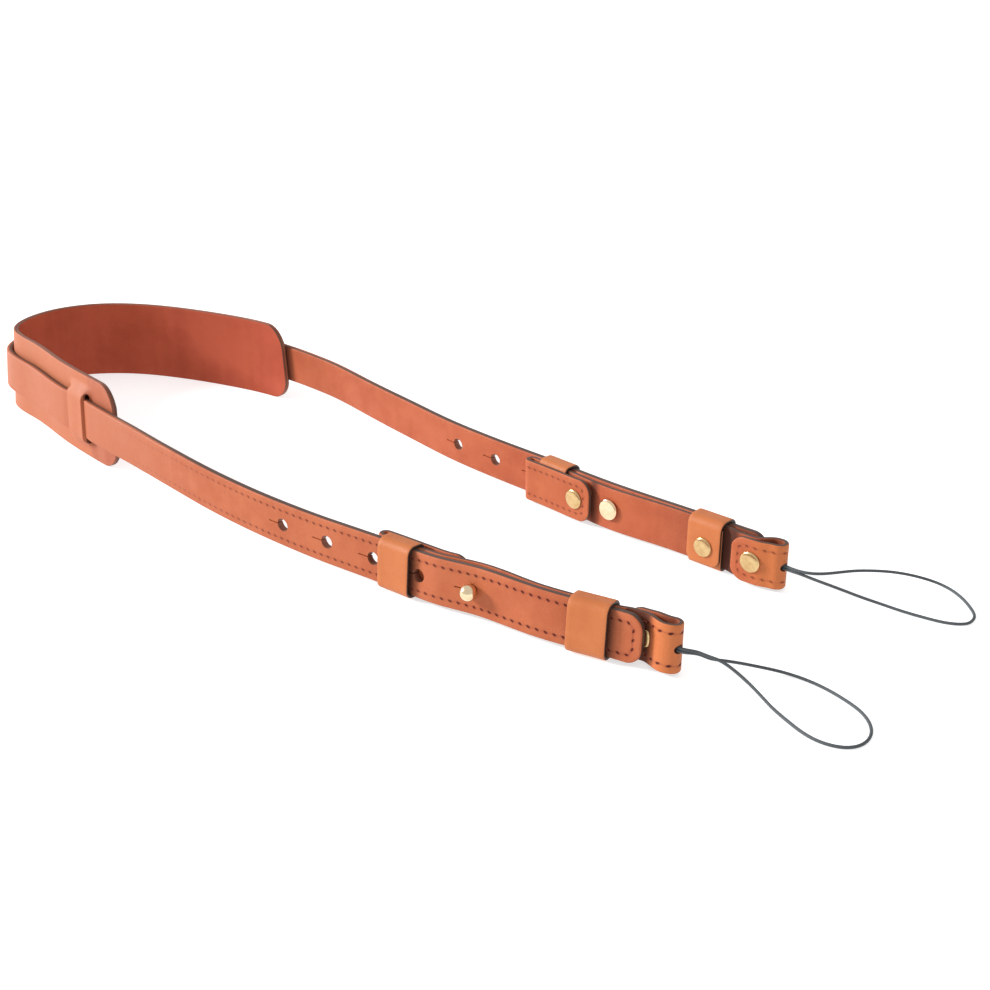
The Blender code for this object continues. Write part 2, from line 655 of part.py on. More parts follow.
def tab_lift(arm, x):
    """How far the connector rises beyond keeper 2 to clear the tab rivet's outer cap."""
    start = arm["keeper 2"] + KEEPER_2_WIDTH / 2 + KEEPER_CLEARANCE
    return TAB_LIFT * float(smooth_step((x - start) / TAB_LIFT_RUN))


def layer_level(arm, x):
    """Middle level of the connector's long layer, which lies on the strap."""
    swing = float(smooth_step((x - SWING_START) / (fold_x(arm) - SWING_START)))
    plain = CONNECTOR_LEVEL + slack(x) + tab_lift(arm, x)
    return plain + (FOLD_LEVEL - FOLD_RADIUS - plain) * swing


def flap_level(arm, x):
    start = arm["keeper 1"] + KEEPER_1_WIDTH / 2 + KEEPER_CLEARANCE
    raised = 1 - FLAP_SETTLE * float(smooth_step((x - start) / FLAP_DESCENT))
    return CONNECTOR_LEVEL + slack(x) + PLY + (KEEPER_THICKNESS + PIECE_GAP) * raised


def tab_level(arm, x):
    plain = CONNECTOR_LEVEL + PLY + tab_lift(arm, x)
    start = SWING_START - TAB_SWING_LEAD
    back = float(smooth_step((x - start) / (fold_x(arm) - start)))
    return plain + (FOLD_LEVEL + FOLD_RADIUS - plain) * back


def connector_route(arm):
    """The connector's middle line in the plane of station and level, flap end first."""
    route = [(x, flap_level(arm, x)) for x in np.arange(arm["flap end"], FLAP_X, -0.0002)]
    route += arc((FLAP_X, CONNECTOR_LEVEL + FLAP_RADIUS), FLAP_RADIUS, 90, 270)
    fold = fold_x(arm)
    route += [(x, layer_level(arm, x)) for x in np.arange(FLAP_X + 0.0002, fold, 0.0002)]
    route += arc((fold, FOLD_LEVEL), FOLD_RADIUS, -90, 90)
    route += [(x, tab_level(arm, x)) for x in np.arange(fold - 0.0002, TAB_END_STATION, -0.0002)]
    return route


def cord_hole(arm):
    """The fold's middle and three directions: out through the cord hole, across it and up."""
    station = arm["side"] * (STUD_STATION + fold_x(arm))
    along, level, up = COURSE.axes(station)
    centre = np.array(COURSE.place(station, FOLD_LEVEL, 0.0))
    turn = math.radians(arm["hole turn"])
    ahead = along * arm["side"]
    out = ahead * math.cos(turn) + level * math.sin(turn)
    across = level * math.cos(turn) - ahead * math.sin(turn)
    return centre, out, across, up


def add_connector(end, arm):
    side = arm["side"]

    def put(point, across):
        return COURSE.place(side * (STUD_STATION + point[0]), point[1], across)

    radius = STRAP_END_RADIUS
    route, where, whole = picked(connector_route(arm), radius, radius, STRAP_STEP * 1.2)
    halves = [rounded_half(STRAP_WIDTH / 2, radius, min(d, whole - d)) for d in where]
    points, faces = skin(strip_rings(route, CONNECTOR_THICKNESS, halves, put))
    piece = add_piece("connector_" + end, points, faces, STRAP_LEATHER)
    shank_hole = RIVET_SHANK + 2 * SHANK_GAP
    top = CONNECTOR_FACE + PLY + TAB_LIFT + PLY
    centre, out, across, up = cord_hole(arm)
    reach = CORD_HOLE_DIAMETER / 2
    start = FOLD_RADIUS - CONNECTOR_THICKNESS / 2 - 2 * PIECE_GAP
    profile = [(0.0, start), (reach, start), (reach, FOLD_RADIUS * 2), (0.0, FOLD_RADIUS * 2)]
    cut(piece, "connector_cutter_" + end, [
        drill(side, 0.0, STUD_NECK + 2 * SHANK_GAP, 0.0, CONNECTOR_FACE + PLY),
        drill(side, FLAP_RIVET_STATION, shank_hole, 0.0, CONNECTOR_FACE + 2 * PLY),
        drill(side, TAB_RIVET_STATION, shank_hole, 0.0, top),
        turned(profile, centre, out, across, up),
    ])


# Keepers

KEEPER_REACH = STRAP_WIDTH / 2 + KEEPER_SIDE_GAP + KEEPER_THICKNESS / 2  # its middle line, across


def add_keeper_1(end, arm):
    def put(point, across):
        station = arm["side"] * (STUD_STATION + arm["keeper 1"] + across)
        return COURSE.place(station, point[0], point[1])

    inner = KEEPER_CORNER + KEEPER_THICKNESS / 2
    outer = KEEPER_OUTER_CORNER + KEEPER_THICKNESS / 2
    low = KEEPER_OUTER_WALL - KEEPER_THICKNESS / 2
    high = KEEPER_INNER_WALL + KEEPER_THICKNESS / 2
    route = []
    for level, turn, radius, start in ((high, -1, inner, -90), (high, 1, inner, 0),
                                       (low, 1, outer, 90), (low, -1, outer, 180)):
        inside = -radius if level > 0 else radius
        centre = (level + inside, turn * (KEEPER_REACH - radius))
        route += arc(centre, radius, start, start + 90, CORNER_STEPS + 1)
    halves = [KEEPER_1_WIDTH / 2] * len(route)
    rings = strip_rings(np.array(route), KEEPER_THICKNESS, halves, put, True, True)
    points, faces = skin(rings, True)
    add_piece("keeper_1_" + end, points, faces, KEEPER_LEATHER)


def add_keeper_2(end, arm):
    side = arm["side"]

    def put(point, across):
        return COURSE.place(side * (STUD_STATION + arm["keeper 2"] + across), point[0], point[1])

    inner = KEEPER_CORNER + KEEPER_THICKNESS / 2
    outer = KEEPER_OUTER_CORNER + KEEPER_THICKNESS / 2
    top = inner + KEEPER_THICKNESS
    low = KEEPER_OUTER_WALL - KEEPER_THICKNESS / 2
    under = KEEPER_INNER_WALL + KEEPER_THICKNESS / 2
    over = under + KEEPER_THICKNESS + PIECE_GAP
    route = [(under, STRAP_WIDTH / 2 - KEEPER_2_UNDER_DROP)]
    for level, turn, radius, start in ((under, -1, inner, 0), (low, -1, outer, -90),
                                       (low, 1, outer, -180), (over, 1, top, -270)):
        inside = -radius if level > 0 else radius
        centre = (level + inside, turn * (KEEPER_REACH - radius))
        route += arc(centre, radius, start, start - 90, CORNER_STEPS + 1)
    tip = KEEPER_2_TIP_RISE - STRAP_WIDTH / 2
    route += [(over, tip + d) for d in corner_distances(KEEPER_2_TIP_RADIUS)[::-1]]
    halves = [KEEPER_2_WIDTH / 2] * (len(route) - CORNER_STEPS - 1)
    halves += [rounded_half(KEEPER_2_WIDTH / 2, KEEPER_2_TIP_RADIUS, d)
               for d in corner_distances(KEEPER_2_TIP_RADIUS)[::-1]]
    route = np.array(route)
    points, faces = skin(strip_rings(route, KEEPER_THICKNESS, halves, put, False, True))
    piece = add_piece("keeper_2_" + end, points, faces, KEEPER_LEATHER)
    face = over + KEEPER_THICKNESS / 2
    hole = RIVET_SHANK + 2 * SHANK_GAP
    hole_low, hole_high = KEEPER_INNER_WALL - PIECE_GAP, face + PIECE_GAP
    cut(piece, "keeper_2_cutter_" + end, [
        drill(side, arm["keeper 2"], hole, hole_low, hole_high, KEEPER_RIVET_RISE),
    ])
    shank = RIVET_SHANK / 2
    profile = [(0.0, KEEPER_INNER_WALL), (shank, KEEPER_INNER_WALL), (shank, face + PIECE_GAP)]
    profile += cap_profile(KEEPER_RIVET_DIAMETER, face + PIECE_GAP, RIVET_HEIGHT)
    points, faces = on_arm(side, arm["keeper 2"], profile, KEEPER_RIVET_RISE)
    add_piece("keeper_rivet_" + end, points, faces, BRASS)


# Metal

def add_rivets(end, arm):
    side = arm["side"]
    shank = RIVET_SHANK / 2
    low = layer_level(arm, FLAP_RIVET_STATION) - CONNECTOR_THICKNESS / 2
    base = flap_level(arm, FLAP_RIVET_STATION) + CONNECTOR_THICKNESS / 2 + PIECE_GAP
    profile = [(0.0, low), (shank, low), (shank, base)]
    profile += cap_profile(RIVET_DIAMETER, base, RIVET_HEIGHT)
    points, faces = on_arm(side, FLAP_RIVET_STATION, profile)
    add_piece("flap_rivet_" + end, points, faces, BRASS)
    low = PIECE_GAP + BACK_CAP_HEIGHT
    base = tab_level(arm, TAB_RIVET_STATION) + CONNECTOR_THICKNESS / 2 + PIECE_GAP
    profile = cap_profile(BACK_CAP_DIAMETER, low, -BACK_CAP_HEIGHT)[::-1]
    profile += [(shank, low), (shank, base)]
    profile += cap_profile(RIVET_DIAMETER, base, RIVET_HEIGHT)
    points, faces = on_arm(side, TAB_RIVET_STATION, profile)
    add_piece("tab_rivet_" + end, points, faces, BRASS)


def add_stud(end, side):
    ball = STUD_BALL / 2
    neck = STUD_NECK / 2
    disc = STUD_BASE / 2
    centre = OUTER_FACE - STUD_GAP - math.sqrt(ball ** 2 - (HOLE_DIAMETER / 2) ** 2)
    start = math.degrees(math.asin(neck / ball))
    profile = [(0.0, centre - ball)]
    for angle in np.radians(np.linspace(180, start, 8)[1:]):
        profile.append((ball * math.sin(angle), centre + ball * math.cos(angle)))
    base = CONNECTOR_FACE + slack(0.0) + PIECE_GAP
    profile += [(neck, base), (disc * 0.92, base), (disc, base + STUD_BASE_HEIGHT * 0.4)]
    profile += [(disc * 0.9, base + STUD_BASE_HEIGHT), (0.0, base + STUD_BASE_HEIGHT)]
    points, faces = on_arm(side, 0.0, profile)
    add_piece("stud_" + end, points, faces, BRASS)


# Cords

def add_knot(end, arm):
    centre, out, across, up = cord_hole(arm)
    half = KNOT_LENGTH / 2
    profile = [(0.0, -half)]
    for angle in np.radians(np.linspace(180, 0, 7)[1:-1]):
        profile.append((math.sin(angle), half * math.cos(angle)))
    profile.append((0.0, half))
    points, faces = turned(profile, centre, out, across * KNOT_BREADTH / 2, up * KNOT_HEIGHT / 2)
    add_piece("string_knot_" + end, points, faces, CORD_GREY)


def cord_points(arm, route):
    """The cord's whole route: out of the hole, round the loop and back in."""
    centre, out, _, up = cord_hole(arm)
    first, last = [], []
    for lead in (CORD_START, CORD_LEAD):
        ahead = centre + out * lead
        shift = up * CORD_SPREAD
        first.append(ahead + shift)
        last.insert(0, ahead - shift)
    route = np.array(route) + ORIGIN_SHIFT
    whole = np.array([tuple(p) for p in first] + list(route) + [tuple(p) for p in last])
    dense, _, _ = spline_points(whole, 3000)
    lengths = np.concatenate(([0.0], np.cumsum(np.linalg.norm(np.diff(dense, axis=0), axis=1))))
    count = max(2, math.ceil(lengths[-1] / CORD_STEP))
    where = np.linspace(0.0, lengths[-1], count + 1)
    return [tuple(float(np.interp(w, lengths, dense[:, k])) for k in range(3)) for w in where]


def add_cord(name, places):
    curve = bpy.data.curves.new(name, "CURVE")
    curve.dimensions = "3D"
    curve.bevel_depth = CORD_DIAMETER / 2
    curve.bevel_resolution = 2
    curve.use_fill_caps = True
    spline = curve.splines.new("POLY")
    spline.points.add(len(places) - 1)
    for point, place in zip(spline.points, places):
        point.co = (*place, 1.0)
    curve.materials.append(material(name + "_look", CORD_GREY))
    piece = bpy.data.objects.new(name, curve)
    bpy.context.scene.collection.objects.link(piece)


# The whole part

for leftover in list(bpy.data.objects):
    bpy.data.objects.remove(leftover, do_unlink=True)

add_lining()
add_pad_outer()
add_main_strap()
for name, fit in ARMS.items():
    add_connector(name, fit)
    add_keeper_1(name, fit)
    add_keeper_2(name, fit)
    add_stud(name, fit["side"])
    add_rivets(name, fit)
    add_knot(name, fit)
    add_cord("string_" + name, cord_points(fit, CORD_ROUTES[name]))
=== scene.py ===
import math

import bmesh
import bpy
import numpy as np
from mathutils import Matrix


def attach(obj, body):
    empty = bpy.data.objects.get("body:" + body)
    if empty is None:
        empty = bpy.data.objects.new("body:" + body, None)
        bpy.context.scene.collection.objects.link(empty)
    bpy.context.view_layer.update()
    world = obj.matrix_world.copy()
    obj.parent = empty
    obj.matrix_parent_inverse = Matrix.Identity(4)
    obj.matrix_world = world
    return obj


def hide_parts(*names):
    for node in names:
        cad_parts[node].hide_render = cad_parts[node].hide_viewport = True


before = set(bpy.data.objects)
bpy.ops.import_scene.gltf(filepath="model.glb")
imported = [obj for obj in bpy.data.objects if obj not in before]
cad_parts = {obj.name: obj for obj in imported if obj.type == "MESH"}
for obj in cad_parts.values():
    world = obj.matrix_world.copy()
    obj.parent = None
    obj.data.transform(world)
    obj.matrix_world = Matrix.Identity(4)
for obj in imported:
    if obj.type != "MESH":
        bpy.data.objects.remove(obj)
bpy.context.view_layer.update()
print("frame loaded")


# Camera, at the photo's viewing angle
cameraLook = {
    "place": (0.3669, -0.3366, 0.21767),
    "turnDeg": (65.58, 0.0, 40.0),
    "lens": 50.566,
    "sensor": 36.0,
    "clip": (0.01, 50.0),
}

cameraData = bpy.data.cameras.new("camera")
cameraData.lens = cameraLook["lens"]
cameraData.sensor_width = cameraLook["sensor"]
cameraData.clip_start, cameraData.clip_end = cameraLook["clip"]
camera = bpy.data.objects.new("camera", cameraData)
camera.location = cameraLook["place"]
camera.rotation_euler = [math.radians(a) for a in cameraLook["turnDeg"]]
bpy.context.scene.collection.objects.link(camera)
bpy.context.scene.camera = camera
print("camera placed")


# The strap's course: its inner face seen from above
course = (  # x, y, rise (0 on its keepers, 1 lifted by the pad), lean in degrees
    (0.19135, -0.02935, 0.00, 2.8),    # near end
    (0.17685, -0.03479, 0.00, 3.6),    # near cord fold
    (0.16404, -0.03698, 0.00, 4.6),    # near keeper 2
    (0.14976, -0.03973, 0.00, 5.8),
    (0.13586, -0.04190, 0.00, 7.0),
    (0.11390, -0.04347, 0.00, 7.0),    # near stud
    (0.09889, -0.04636, 0.00, 5.9),
    (0.08791, -0.04675, 0.00, 4.5),    # near keeper 1
    (0.05680, -0.04954, 0.10, 3.1),    # near holes
    (0.02825, -0.05217, 0.31, 0.8),
    (-0.00066, -0.05319, 0.59, -0.2),  # near arm
    (-0.02921, -0.05184, 0.85, -1.3),
    (-0.05703, -0.04932, 1.00, 0.3),
    (-0.08594, -0.04564, 1.00, 3.6),   # near bridge
    (-0.11485, -0.04092, 1.00, 3.9),
    (-0.14340, -0.03474, 1.00, 4.9),
    (-0.16866, -0.02779, 1.00, 6.4),   # turn
    (-0.17927, 0.00286, 1.00, 6.1),
    (-0.16536, 0.02490, 1.00, 2.5),
    (-0.13901, 0.03909, 1.00, 1.1),
    (-0.11156, 0.04700, 1.00, 1.5),
    (-0.08338, 0.05053, 1.00, 2.5),    # far bridge
    (-0.07533, 0.05018, 1.00, 3.4),
    (-0.05446, 0.05070, 0.83, 4.1),
    (-0.02592, 0.04692, 0.63, 3.7),    # far arm
    (0.00190, 0.04348, 0.40, 2.2),
    (0.03081, 0.04015, 0.19, 1.5),
    (0.07144, 0.03854, 0.00, 0.7),     # far keeper 1
    (0.10621, 0.03510, 0.00, -0.5),    # far stud
    (0.14537, 0.03404, 0.00, 0.0),     # far keeper 2
    (0.17685, 0.03327, 0.00, 0.0),
    (0.19076, 0.03418, 0.00, 0.0),     # far end
)

# Sizes that several pieces share
strap = {
    "length": 0.7491,
    "shift": 0.0009,          # the strap's middle, from the course's middle
    "width": 0.016,
    "thickness": 0.0026,
    "cornerRadius": 0.005,
    "rounding": 0.0005,       # burnished edges
    "endFromStud": 0.0607,
    "gap": 0.0003,            # between pieces that lie on each other
}
pad = {
    "span": 0.2571,
    "shift": -0.0030,
    "width": 0.034,
    "cornerRadius": 0.010,
    "ply": 0.0009,
    "gap": 0.00015,
    "slitFromEnd": 0.0190,
    "bridge": 0.0145,         # between the middles of a bridge's two slits
    "slitOpening": 0.0022,
    "slitSpan": 0.0204,
    "dip": 0.001,             # the strap sinks this far under a bridge
    "dipRun": 0.010,
    "dipShare": 0.2,          # of the dip: the pad's outer leather lies this far inside the strap
}
keeper = {
    "width": 0.0133,
    "thickness": 0.0010,
    "play": 0.0012,
    "sideGap": 0.0002,
    "corner": 0.0012,         # on the connector's side
    "outerCorner": 0.0022,    # on the strap's outer side
    "rounding": 0.35,         # of its thickness
    "tipRadius": 0.0030,      # from here on: keeper 2
    "tipRise": 0.0008,
    "underDrop": 0.0015,
    "rivetRise": -0.0010,
}
connector = {
    "thickness": 0.0017,
    "flapFold": -0.0406,      # stations from the stud, + towards the cord
    "flapRivet": -0.0145,
    "flapDescent": 0.0125,
    "flapSettle": 0.45,
    "tabEnd": 0.0518,
    "tabRivet": 0.0592,
    "tabLiftRun": 0.0058,
    "tabSwingLead": 0.0010,
    "swingLag": -0.0008,      # the long layer swings outward from here beyond the tab rivet
    "swingRest": 0.0012,      # to here before the fold's middle
    "foldSwell": 0.0065,
    "studSlack": 0.0011,
    "slackRun": 0.026,
    "clearance": 0.0002,
    "backCap": 0.0056,
    "backCapHeight": 0.0008,
    "cordHole": 0.0028,
}
arms = {  # stations from the stud; holeTurn is the cord hole's turn on the fold, in degrees
    "near": {"side": -1, "flapEnd": -0.0050, "keeper1": -0.0292, "keeper2": 0.0424,
             "foldEnd": 0.0712, "holeTurn": -30.0, "stitchShow": 1.0},
    "far": {"side": 1, "flapEnd": -0.0073, "keeper1": -0.0275, "keeper2": 0.0406,
            "foldEnd": 0.0700, "holeTurn": 12.0, "stitchShow": 0.52},
}

outerFace = -strap["thickness"]
connectorLevel = strap["gap"] + connector["thickness"] / 2
connectorFace = strap["gap"] + connector["thickness"]
ply = connector["thickness"] + strap["gap"]
keeperOuterWall = outerFace - keeper["play"]
keeperInnerWall = connectorFace + strap["gap"]
keeperReach = strap["width"] / 2 + keeper["sideGap"] + keeper["thickness"] / 2
padOuterLevel = strap["gap"] + pad["dip"] * pad["dipShare"] + pad["ply"] / 2
liningLevel = padOuterLevel + pad["ply"] + pad["gap"]
padInnerFace = liningLevel + pad["ply"] / 2
armHeight = keeper["thickness"] + keeper["sideGap"] + strap["width"] / 2
studStation = strap["length"] / 2 - strap["endFromStud"]


tinyStep = 1e-5               # between two places whose difference gives a direction


def smoothStep(share):
    share = np.clip(share, 0.0, 1.0)
    return share * share * (3 - 2 * share)


def unit(vectors):
    return vectors / np.linalg.norm(vectors, axis=-1, keepdims=True)


def lengthsAlong(points):
    return np.concatenate(([0.0], np.cumsum(np.linalg.norm(np.diff(points, axis=0), axis=1))))


def readAt(where, knots, rows):
    # a table's rows, read at places between their knots
    return np.stack([np.interp(where, knots, column) for column in np.transpose(rows)], -1)


def cellsAt(where, knots):
    return np.clip(np.searchsorted(knots, where, side="right") - 1, 0, len(knots) - 2)


def splineThrough(points, samples):
    # natural cubic spline through points; also the points' places along it and the samples'
    points = np.asarray(points, dtype=float)
    knots = lengthsAlong(points)
    count, steps = len(knots), np.diff(knots)
    matrix, right = np.eye(count), np.zeros((count, points.shape[1]))
    for i in range(1, count - 1):
        matrix[i, i - 1:i + 2] = steps[i - 1], 2 * (steps[i - 1] + steps[i]), steps[i]
        right[i] = 6 * ((points[i + 1] - points[i]) / steps[i] - (points[i] - points[i - 1]) / steps[i - 1])
    bend = np.linalg.solve(matrix, right)
    where = np.linspace(0.0, knots[-1], samples)
    cell = cellsAt(where, knots)
    step = steps[cell][:, None]
    low, high = (knots[cell + 1] - where)[:, None], (where - knots[cell])[:, None]
    curve = (bend[cell] * low ** 3 + bend[cell + 1] * high ** 3) / (6 * step)
    curve += (points[cell] / step - bend[cell] * step / 6) * low
    curve += (points[cell + 1] / step - bend[cell + 1] * step / 6) * high
    return curve, knots, where


def evenCurve(knots, values, where):
    # a curve through values at knots that never swings beyond them
    steps = np.diff(knots)
    slopes = np.diff(values) / steps
    bends = np.zeros(len(knots))
    bends[0], bends[-1] = slopes[0], slopes[-1]
    for i in range(1, len(knots) - 1):
        if slopes[i - 1] * slopes[i] > 0:
            first, second = 2 * steps[i] + steps[i - 1], steps[i] + 2 * steps[i - 1]
            bends[i] = (first + second) / (first / slopes[i - 1] + second / slopes[i])
    cell = cellsAt(where, knots)
    step, share = steps[cell], (where - knots[cell]) / steps[cell]
    back = 1 - share
    curve = (1 + 2 * share) * back ** 2 * values[cell] + share ** 2 * (3 - 2 * share) * values[cell + 1]
    return curve + step * share * back * (back * bends[cell] - share * bends[cell + 1])


courseTable = np.array(course)
coursePoints, courseKnots, courseWhere = splineThrough(courseTable[:, :2], 4000)
courseStations = lengthsAlong(coursePoints)
courseMiddle = courseStations[-1] / 2
courseRise = evenCurve(courseKnots, courseTable[:, 2], courseWhere)
courseLean = evenCurve(courseKnots, courseTable[:, 3], courseWhere)
courseTangents = np.gradient(coursePoints, courseStations, axis=0)


def onCourse(station, level, across):
    # station along the strap, level inward of its inner face, across its width: a point in space
    where = np.asarray(station, dtype=float) + courseMiddle
    inside = np.clip(where, 0.0, courseStations[-1])
    tangent = unit(readAt(inside, courseStations, courseTangents))
    point = readAt(inside, courseStations, coursePoints) + tangent * (where - inside)[..., None]
    lean = np.radians(np.interp(inside, courseStations, courseLean))
    rise = np.interp(inside, courseStations, courseRise)
    padHeight = pad["width"] / 2 * np.cos(lean) + padInnerFace * np.sin(lean)
    inner, outer = keeperInnerWall - keeper["corner"], -keeperOuterWall - keeper["outerCorner"]
    onArm = armHeight + np.where(lean >= 0, inner, outer) * np.abs(np.sin(lean))
    height = onArm + (padHeight - onArm) * rise
    sideways = level * np.cos(lean) + across * np.sin(lean)
    up = across * np.cos(lean) - level * np.sin(lean)
    x = point[..., 0] + tangent[..., 1] * sideways
    y = point[..., 1] - tangent[..., 0] * sideways
    return np.stack([x, y, height + up], -1)


def axesAt(station):
    # along, inward and up directions of the strap
    here = onCourse(station, 0.0, 0.0)
    ahead = (onCourse(station + tinyStep, 0.0, 0.0) - here) * (1, 1, 0)
    inward = onCourse(station, tinyStep, 0.0) - here
    up = onCourse(station, 0.0, tinyStep) - here
    return unit(ahead), unit(inward), unit(up)


# Node helpers

class Value:
    # a node's output; a sum of values adds the maths nodes that it needs
    def __init__(self, socket):
        self.socket, self.tree = socket, socket.id_data

    def __add__(self, other):
        return maths(self.tree, "ADD", self, other)

    def __sub__(self, other):
        return maths(self.tree, "SUBTRACT", self, other)

    def __rsub__(self, other):
        return maths(self.tree, "SUBTRACT", other, self)

    def __mul__(self, other):
        return maths(self.tree, "MULTIPLY", self, other)

    def __truediv__(self, other):
        return maths(self.tree, "DIVIDE", self, other)

    def __rtruediv__(self, other):
        return maths(self.tree, "DIVIDE", other, self)


def feed(node, inputs):
    # links values to a node's inputs and sets the others
    for key, value in inputs.items():
        if isinstance(value, Value):
            node.id_data.links.new(value.socket, node.inputs[key])
        else:
            node.inputs[key].default_value = value


def addNode(tree, kind, inputs=None, **settings):
    # adds a node and returns its outputs, by name and by place
    made = tree.nodes.new(kind)
    for key, value in settings.items():
        setattr(made, key, value)
    feed(made, inputs or {})
    values = [Value(socket) for socket in made.outputs]
    return {**{value.socket.name: value for value in values[::-1]}, **dict(enumerate(values))}


def maths(tree, operation, first, second=0.0):
    return addNode(tree, "ShaderNodeMath", {0: first, 1: second}, operation=operation)[0]


def vectorMaths(operation, inputs):
    return addNode(inputs[0].tree, "ShaderNodeVectorMath", inputs, operation=operation)


def ranged(value, low, high, toLow=0.0, toHigh=1.0):
    return addNode(value.tree, "ShaderNodeMapRange", {
        "Value": value, "From Min": low, "From Max": high, "To Min": toLow, "To Max": toHigh,
    }, interpolation_type="SMOOTHSTEP")["Result"]


def blended(share, first, second):
    return addNode(share.tree, "ShaderNodeMix", {0: share, 6: first, 7: second}, data_type="RGBA")[2]


def noise(place, scale, detail=2.0, roughness=0.5, output="Fac"):
    return addNode(place.tree, "ShaderNodeTexNoise", {
        "Vector": place, "Scale": scale, "Detail": detail, "Roughness": roughness,
    })[output]


def cells(place, scale, feature="F1"):
    return addNode(place.tree, "ShaderNodeTexVoronoi", {"Vector": place, "Scale": scale},
                   feature=feature)["Distance"]


def attribute(tree, name):
    return addNode(tree, "ShaderNodeAttribute", attribute_name=name)["Fac"]


def objectPlace(tree):
    return addNode(tree, "ShaderNodeTexCoord")["Object"]


def uvPlace(tree, name):
    return addNode(tree, "ShaderNodeUVMap", uv_map=name)["UV"]


def bumped(height, strength, distance, below=None):
    inputs = {"Height": height, "Strength": strength, "Distance": distance}
    if below:
        inputs["Normal"] = below
    return addNode(height.tree, "ShaderNodeBump", inputs)["Normal"]


def newTree(name, inputs, outputs, outputKind="Float", treeKind="ShaderNodeTree"):
    # an empty group and its inputs, each named with its value, or with its kind where it has none
    tree = bpy.data.node_groups.new(name, treeKind)
    for label, value in inputs.items():
        kind = {float: "Float", int: "Int"}.get(type(value))
        kindName = "NodeSocket" + (kind or value)
        socket = tree.interface.new_socket(label, in_out="INPUT", socket_type=kindName)
        if kind:
            socket.default_value = value
    for label in outputs:
        tree.interface.new_socket(label, in_out="OUTPUT", socket_type="NodeSocket" + outputKind)
    return tree, addNode(tree, "NodeGroupInput")


# Shader effects that several materials share

grainForm = {
    "warpScale": 900.0,
    "warp": 0.0005,
    "pebbleRim": 0.22,
    "fineScale": 2.3,         # times the grain's
    "poreScale": 0.55,
    "poreRim": (0.16, 0.05),
    "pebble": 0.6,            # shares of the height
    "fine": 0.7,
    "pores": 0.5,
    "broadScale": 0.28,       # times the patches'
    "bandStretch": (150.0, 12.0, 1.0),
    "patches": 0.5,           # shares of the tone
    "broad": 0.3,
    "bands": 0.2,
    "toneRange": (0.36, 0.64),
}
edgeForm = {
    "raggedScale": 1500.0,
    "soft": 0.00006,
    "cornerRun": 0.2,
    "rubRun": (0.0022, 0.0005),
    "rubScale": 240.0,
    "rubRange": (0.35, 0.75),
}
pitForm = {"face": (-0.5, -0.8), "pit": (1.15, 0.75), "shade": (2.3, 0.9)}


def leatherGrain():
    # fine pebbled grain, pores, and soft patches of tone
    tree, given = newTree("leatherGrain", {
        "Grain size": 0.0007, "Patch size": 0.012, "Along": "Vector",
    }, ("Height", "Tone", "Pores"))
    form, place = grainForm, objectPlace(tree)
    grainScale, patchScale = 1.0 / given["Grain size"], 1.0 / given["Patch size"]
    warp = noise(place, form["warpScale"], 1.0, output="Color")
    shift = vectorMaths("SCALE", {0: warp, "Scale": form["warp"]})[0]
    moved = vectorMaths("ADD", {0: place, 1: shift})[0]
    pebble = ranged(cells(moved, grainScale, "DISTANCE_TO_EDGE"), 0.0, form["pebbleRim"])
    fine = noise(place, grainScale * form["fineScale"], 3.0, 0.6)
    pores = ranged(cells(moved, grainScale * form["poreScale"]), *form["poreRim"])
    patches = noise(place, patchScale, 4.0, 0.62)
    broad = noise(place, patchScale * form["broadScale"])
    bands = noise(vectorMaths("MULTIPLY", {0: given["Along"], 1: form["bandStretch"]})[0], 1.0)
    tone = patches * form["patches"] + broad * form["broad"] + bands * form["bands"]
    addNode(tree, "NodeGroupOutput", {
        "Height": pebble * form["pebble"] + fine * form["fine"] - pores * form["pores"],
        "Tone": ranged(tone, *form["toneRange"]), "Pores": pores,
    })
    return tree


def paintedEdge():
    # dark edge paint on the rim, with a slightly uneven border, and a rubbed line inside it;
    # the rim's corners stay leather
    tree, given = newTree("paintedEdge", {
        "Width": 0.0004, "Hole width": 0.00015, "Raggedness": 0.00012, "Corner": 0.3, "Paler corner": 0.0,
    }, ("Paint", "Hole", "Rub"))
    form, place = edgeForm, objectPlace(tree)
    fromEdge, side = attribute(tree, "fromEdge"), attribute(tree, "side")
    uneven = (noise(place, form["raggedScale"]) - 0.5) * (given["Raggedness"] * 2.0)
    rim = ranged(fromEdge - (given["Width"] + uneven), form["soft"], -form["soft"])
    front = given["Corner"] - 1.0 + attribute(tree, "paleAndSheen") * given["Paler corner"]
    back = 1.0 - given["Corner"]
    rim = rim * ranged(side, front, front + form["cornerRun"])
    rim = rim * ranged(side, back, back - form["cornerRun"])
    hole = ranged(attribute(tree, "fromHole") - given["Hole width"], form["soft"], -form["soft"])
    rub = ranged(fromEdge, *form["rubRun"]) * ranged(noise(place, form["rubScale"], 3.0), *form["rubRange"])
    addNode(tree, "NodeGroupOutput", {"Paint": maths(tree, "MAXIMUM", rim, hole), "Hole": hole, "Rub": rub})
    return tree


